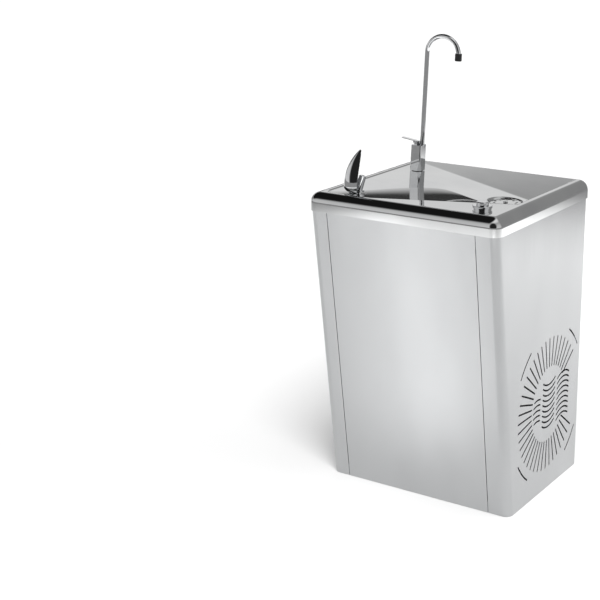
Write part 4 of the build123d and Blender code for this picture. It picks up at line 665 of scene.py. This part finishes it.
# %% Finish and place the guard
hood_mesh.materials.append(bright_chrome)
hood_mesh.shade_smooth()
mouth_guard = bpy.data.objects.new("mouth_guard", hood_mesh)
bpy.context.scene.collection.objects.link(mouth_guard)
soften = mouth_guard.modifiers.new("Rounded edges", "BEVEL")
soften.width, soften.segments = 0.6 * MM, 3
soften.limit_method, soften.angle_limit = "ANGLE", math.radians(40)
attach(mouth_guard, "cabinet")
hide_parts("bubbler_guard")
print("guard faces", len(hood_mesh.polygons))

# %% [markdown]
# ## The swan neck
#
# The bottle filler's spout is one length of 9.5 mm tube, bent through a half turn. Rings swept along
# the exact path keep the chrome free of facets.


# %% Sweep a round tube
def swept_tube(name, base, path, radius, turns=40):
    """A smooth tube round a path that lies in the frame's x-z plane."""
    tube = bmesh.new()
    rings = []
    for n, (x, z) in enumerate(path):
        before, after = path[max(n - 1, 0)], path[min(n + 1, len(path) - 1)]
        run, climb = after[0] - before[0], after[1] - before[1]
        length = math.hypot(run, climb)
        nx, nz = climb / length, -run / length
        rings.append(
            [
                tube.verts.new(
                    to_world(
                        base,
                        x + nx * radius * math.cos(a / turns * math.tau),
                        radius * math.sin(a / turns * math.tau),
                        z + nz * radius * math.cos(a / turns * math.tau),
                    )
                )
                for a in range(turns)
            ]
        )
    for near, far in zip(rings, rings[1:]):
        for k in range(turns):
            tube.faces.new((near[k], near[(k + 1) % turns], far[(k + 1) % turns], far[k]))
    for end in (rings[0], rings[-1]):
        tube.faces.new(end)
    bmesh.ops.recalc_face_normals(tube, faces=tube.faces)
    mesh = bpy.data.meshes.new(name)
    tube.to_mesh(mesh)
    tube.free()
    mesh.shade_smooth()
    return bpy.data.objects.new(name, mesh)


# %% Bend and place the swan neck
NECK_RADIUS, NECK_RISE, NECK_BEND = 4.75, 243.0, 35.5
NECK_FOOT, NECK_DROP = 30.3, 7.9
tap_origin, tap_x, tap_y, tap_up = sloped_frame(-137.0, 111.0)
neck_base = (tap_origin + tap_x * 5.5 + tap_y * 4.5, tap_x, tap_y, tap_up)
neck_path = [(0, NECK_FOOT + (NECK_RISE - NECK_FOOT) * k / 12) for k in range(12)]
for k in range(49):
    a = math.radians(180 - 180 * k / 48)
    neck_path.append((NECK_BEND + NECK_BEND * math.cos(a), NECK_RISE + NECK_BEND * math.sin(a)))
neck_path.append((2 * NECK_BEND, NECK_RISE - NECK_DROP))
swan_neck = swept_tube("swan_neck", neck_base, neck_path, NECK_RADIUS)
swan_neck.data.materials.append(bright_chrome)
bpy.context.scene.collection.objects.link(swan_neck)
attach(swan_neck, "spout")
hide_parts("tap_spout")
print("swan neck rings", len(neck_path))

# %% [markdown]
# ## The studio
#
# The fountain stands on a pale polished floor that runs out of sight, so it fills the background.
# A wide soft lamp whitens the floor. It is hidden from reflections, because polished steel
# has no colour of its own: what it shows is the room, and the room is drawn in the world below.

# %% Floor sheet
floor_mesh = bpy.data.meshes.new("studio_floor")
sheet = bmesh.new()
bmesh.ops.create_grid(sheet, x_segments=2, y_segments=2, size=30)
sheet.to_mesh(floor_mesh)
sheet.free()
studio_floor = bpy.data.objects.new("studio_floor", floor_mesh)
studio_floor.location.z = -0.0005
bpy.context.scene.collection.objects.link(studio_floor)
BACK_WAY = (-0.547, 0.837, 0)
print("floor", [round(side) for side in studio_floor.dimensions])

# %% [markdown]
# The floor is pale paper near the fountain and in the wedge behind it. Further off to the sides and
# ahead it falls to grey: upright chrome sees only the floor, and this is what makes the tube dark.
# Its thin polish gives a faint mirror image close to the cabinet and none in the distance.

# %% Floor finish
pale_floor, tree, shader = new_finish("Pale polished floor", Roughness=0.06, IOR=1.4)
spot = add_node(tree, "ShaderNodeTexCoord").outputs["Object"]
reach = add_node(tree, "ShaderNodeVectorMath", {"operation": "LENGTH"}, vector=spot)
far = add_node(
    tree,
    "ShaderNodeMapRange",
    {"interpolation_type": "SMOOTHSTEP", "From Min": 2.3, "From Max": 2.9},
    value=reach.outputs["Value"],
)
bearing = add_node(tree, "ShaderNodeVectorMath", {"operation": "NORMALIZE"}, vector=spot)
backward = add_node(tree, "ShaderNodeVectorMath", {"operation": "DOT_PRODUCT"})
tree.links.new(bearing.outputs[0], backward.inputs[0])
backward.inputs[1].default_value = BACK_WAY
aside = add_node(
    tree,
    "ShaderNodeMapRange",
    {
        "interpolation_type": "SMOOTHSTEP",
        "From Min": math.cos(math.radians(40)),
        "From Max": math.cos(math.radians(56)),
    },
    value=backward.outputs["Value"],
)
shade = add_node(tree, "ShaderNodeMath", {"operation": "MULTIPLY"})
tree.links.new(far.outputs[0], shade.inputs[0])
tree.links.new(aside.outputs[0], shade.inputs[1])
paper = add_node(tree, "ShaderNodeValToRGB", fac=shade.outputs[0])
paper.color_ramp.elements[0].color = linear("#f7f7f7")
paper.color_ramp.elements[1].color = linear("#8c8c8c")
tree.links.new(paper.outputs["Color"], shader.inputs["Base Color"])
# the polish is near the fountain only, further off the floor is matt
polish = add_node(
    tree,
    "ShaderNodeMapRange",
    {"From Min": 0.8, "From Max": 1.8, "To Min": 0.5, "To Max": 0.0},
    value=reach.outputs["Value"],
)
tree.links.new(polish.outputs[0], shader.inputs["Specular IOR Level"])
floor_mesh.materials.append(pale_floor)
print("finish", pale_floor.name)

# %% [markdown]
# ## Lamps
#
# The lamps light the floor and the matt pieces only. Metal shows them second hand, as brighter
# pools on the floor that it mirrors, which gives soft-edged highlights with no lamp shape in them.


# %% Lamps
def lamp(name, kind, energy, place, aim, **settings):
    """A lamp at a place, turned to a point, that lights surfaces but is not mirrored in them."""
    data = bpy.data.lights.new(name, kind)
    data.energy = energy
    for key, value in settings.items():
        setattr(data, key, value)
    made = bpy.data.objects.new(name, data)
    made.location = place
    made.rotation_mode = "QUATERNION"
    made.rotation_quaternion = (Vector(aim) - Vector(place)).to_track_quat("-Z", "Y")
    made.visible_glossy = made.visible_camera = False
    bpy.context.scene.collection.objects.link(made)
    return made


# the main lamp stands high behind the viewer, so the shadow falls out of sight
overhead = lamp("overhead_light", "SUN", 3.5, (1.9, -2.9, 4.2), (0, 0, 0), angle=math.radians(35))
# a narrow pool of light on the floor ahead is mirrored as the upright bright band of the front panel
ahead = Vector((-0.547, -0.837, 0))
middle = Vector((0.01, -0.2, 0)) + ahead * 1.3
above = Vector((0, 0, 0.14))
strip = lamp("strip_light", "AREA", 2.2, middle + above, middle, shape="RECTANGLE", size=0.12, size_y=2.4)
strip.rotation_mode = "XYZ"
strip.rotation_euler = (0, 0, math.atan2(ahead.y, ahead.x) - math.pi / 2)
# a wide pool behind on the right brightens the side panel
side_spot = Vector((1.1, 1.35, 0))
above = Vector((0, 0, 1.0))
pool = lamp("pool_light", "AREA", 15.0, side_spot + above, side_spot, shape="DISK", size=2.2)
# a small pool ahead of the front right corner gives the corner its white highlight
corner_spot = Vector((1.15, -1.75, 0))
above = Vector((0, 0, 0.5))
glint = lamp("corner_light", "AREA", 4.0, corner_spot + above, corner_spot, shape="DISK", size=0.8)
print("lamps", overhead.name, strip.name, pool.name, glint.name)

# %% [markdown]
# ## The room
#
# The room's walls are a value for every direction. Towards the back, where the flat steel of the
# basin looks, a dark low band gives the black lens of the cove, a bright band above it lights the
# floor and the deck, and a dark screen higher up draws the black line along the front roll.


# %% World light by direction
world = bpy.data.worlds.new("Studio")
bpy.context.scene.world = world
world.use_nodes = True
sky = world.node_tree
look = add_node(sky, "ShaderNodeTexCoord").outputs["Generated"]
parts = add_node(sky, "ShaderNodeSeparateXYZ", vector=look)
lift = add_node(sky, "ShaderNodeMapRange", {"From Min": -1.0, "From Max": 1.0}, value=parts.outputs["Z"])


def by_elevation(stops):
    """A grey that follows the height of the direction above the horizon."""
    ramp = add_node(sky, "ShaderNodeValToRGB", fac=lift.outputs["Result"])
    points = ramp.color_ramp.elements
    while len(points) < len(stops):
        points.new(0.5)
    for point, (degrees_up, value) in zip(points, stops):
        point.position = (math.sin(math.radians(degrees_up)) + 1) / 2
        point.color = (value, value, value, 1)
    return ramp.outputs["Color"]


def blend(below, above, mask):
    """Lays one grey over another through a mask."""
    mix = add_node(sky, "ShaderNodeMixRGB", fac=mask)
    for socket, source in ((1, below), (2, above)):
        if isinstance(source, float):
            mix.inputs[socket].default_value = (source, source, source, 1)
        else:
            sky.links.new(source, mix.inputs[socket])
    return mix.outputs[0]


def toward(source, centre, inner, outer):
    """1 within the inner angle of a direction, falling smoothly to 0 at the outer angle."""
    aim = Vector(centre).normalized()
    near = add_node(sky, "ShaderNodeVectorMath", {"operation": "DOT_PRODUCT"})
    sky.links.new(source, near.inputs[0])
    near.inputs[1].default_value = aim
    edge = add_node(
        sky,
        "ShaderNodeMapRange",
        {
            "interpolation_type": "SMOOTHSTEP",
            "From Min": math.cos(math.radians(outer)),
            "From Max": math.cos(math.radians(inner)),
        },
        value=near.outputs["Value"],
    )
    return edge.outputs["Result"]


# %% Paint the room
level_way = add_node(sky, "ShaderNodeVectorMath", {"operation": "MULTIPLY"})
sky.links.new(look, level_way.inputs[0])
level_way.inputs[1].default_value = (1, 1, 0)
flat_way = add_node(sky, "ShaderNodeVectorMath", {"operation": "NORMALIZE"})
sky.links.new(level_way.outputs[0], flat_way.inputs[0])
around = by_elevation([(-10, 0.8), (0, 0.7), (20, 0.65), (45, 0.42), (60, 0.8), (90, 1.0)])
low_stops = [(-10, 0.8), (0, 0.04), (7, 0.04), (10, 0.66), (15, 0.82)]
high_stops = [(19, 0.82), (23, 0.36), (34, 0.3), (60, 0.7), (90, 0.9)]
behind = by_elevation(low_stops + high_stops)
room = blend(around, behind, toward(flat_way.outputs[0], BACK_WAY, 45, 65))
# each screen: how bright, where it hangs, its sharp inner and soft outer half-angle
screens = [
    (0.01, (-0.55, 0.0, 0.83), 33, 49),  # overhead on the left: the black line along the front roll
    (0.3, (0.45, 0.81, 0.3), 28, 50),  # behind on the right: the grey right-hand roll
    (0.02, (0.35, -0.9, 0.25), 28, 44),  # the dark side that the viewer stands in: black in the chrome
]
for grey, centre, inner_angle, outer_angle in screens:
    room = blend(room, grey, toward(look, centre, inner_angle, outer_angle))
background = sky.nodes["Background"]
sky.links.new(room, background.inputs["Color"])
background.inputs["Strength"].default_value = 1.0
print("world", world.name)

# %% [markdown]
# ## Camera
#
# A long lens from the front right, a little above the basin, keeps the cabinet's upright edges
# nearly parallel and looks into the basin.

# %% Camera
azimuth, elevation = math.radians(33.15), math.radians(14.04)
level = math.cos(elevation)
back = Vector((math.sin(azimuth) * level, -math.cos(azimuth) * level, math.sin(elevation)))
camera_data = bpy.data.cameras.new("camera")
camera = bpy.data.objects.new("camera", camera_data)
bpy.context.scene.collection.objects.link(camera)
camera.location = (1.232, -2.2755, 1.164)
camera.rotation_mode = "QUATERNION"
camera.rotation_quaternion = (-back).to_track_quat("-Z", "Y")
camera_data.sensor_width = 36.0
camera_data.lens = 81.87
camera_data.shift_x = -0.0667
camera_data.shift_y = -0.1205
bpy.context.scene.camera = camera
bpy.context.scene.view_settings.view_transform = "Standard"
print("camera stands", round(camera.location.length, 2), "m from the origin")
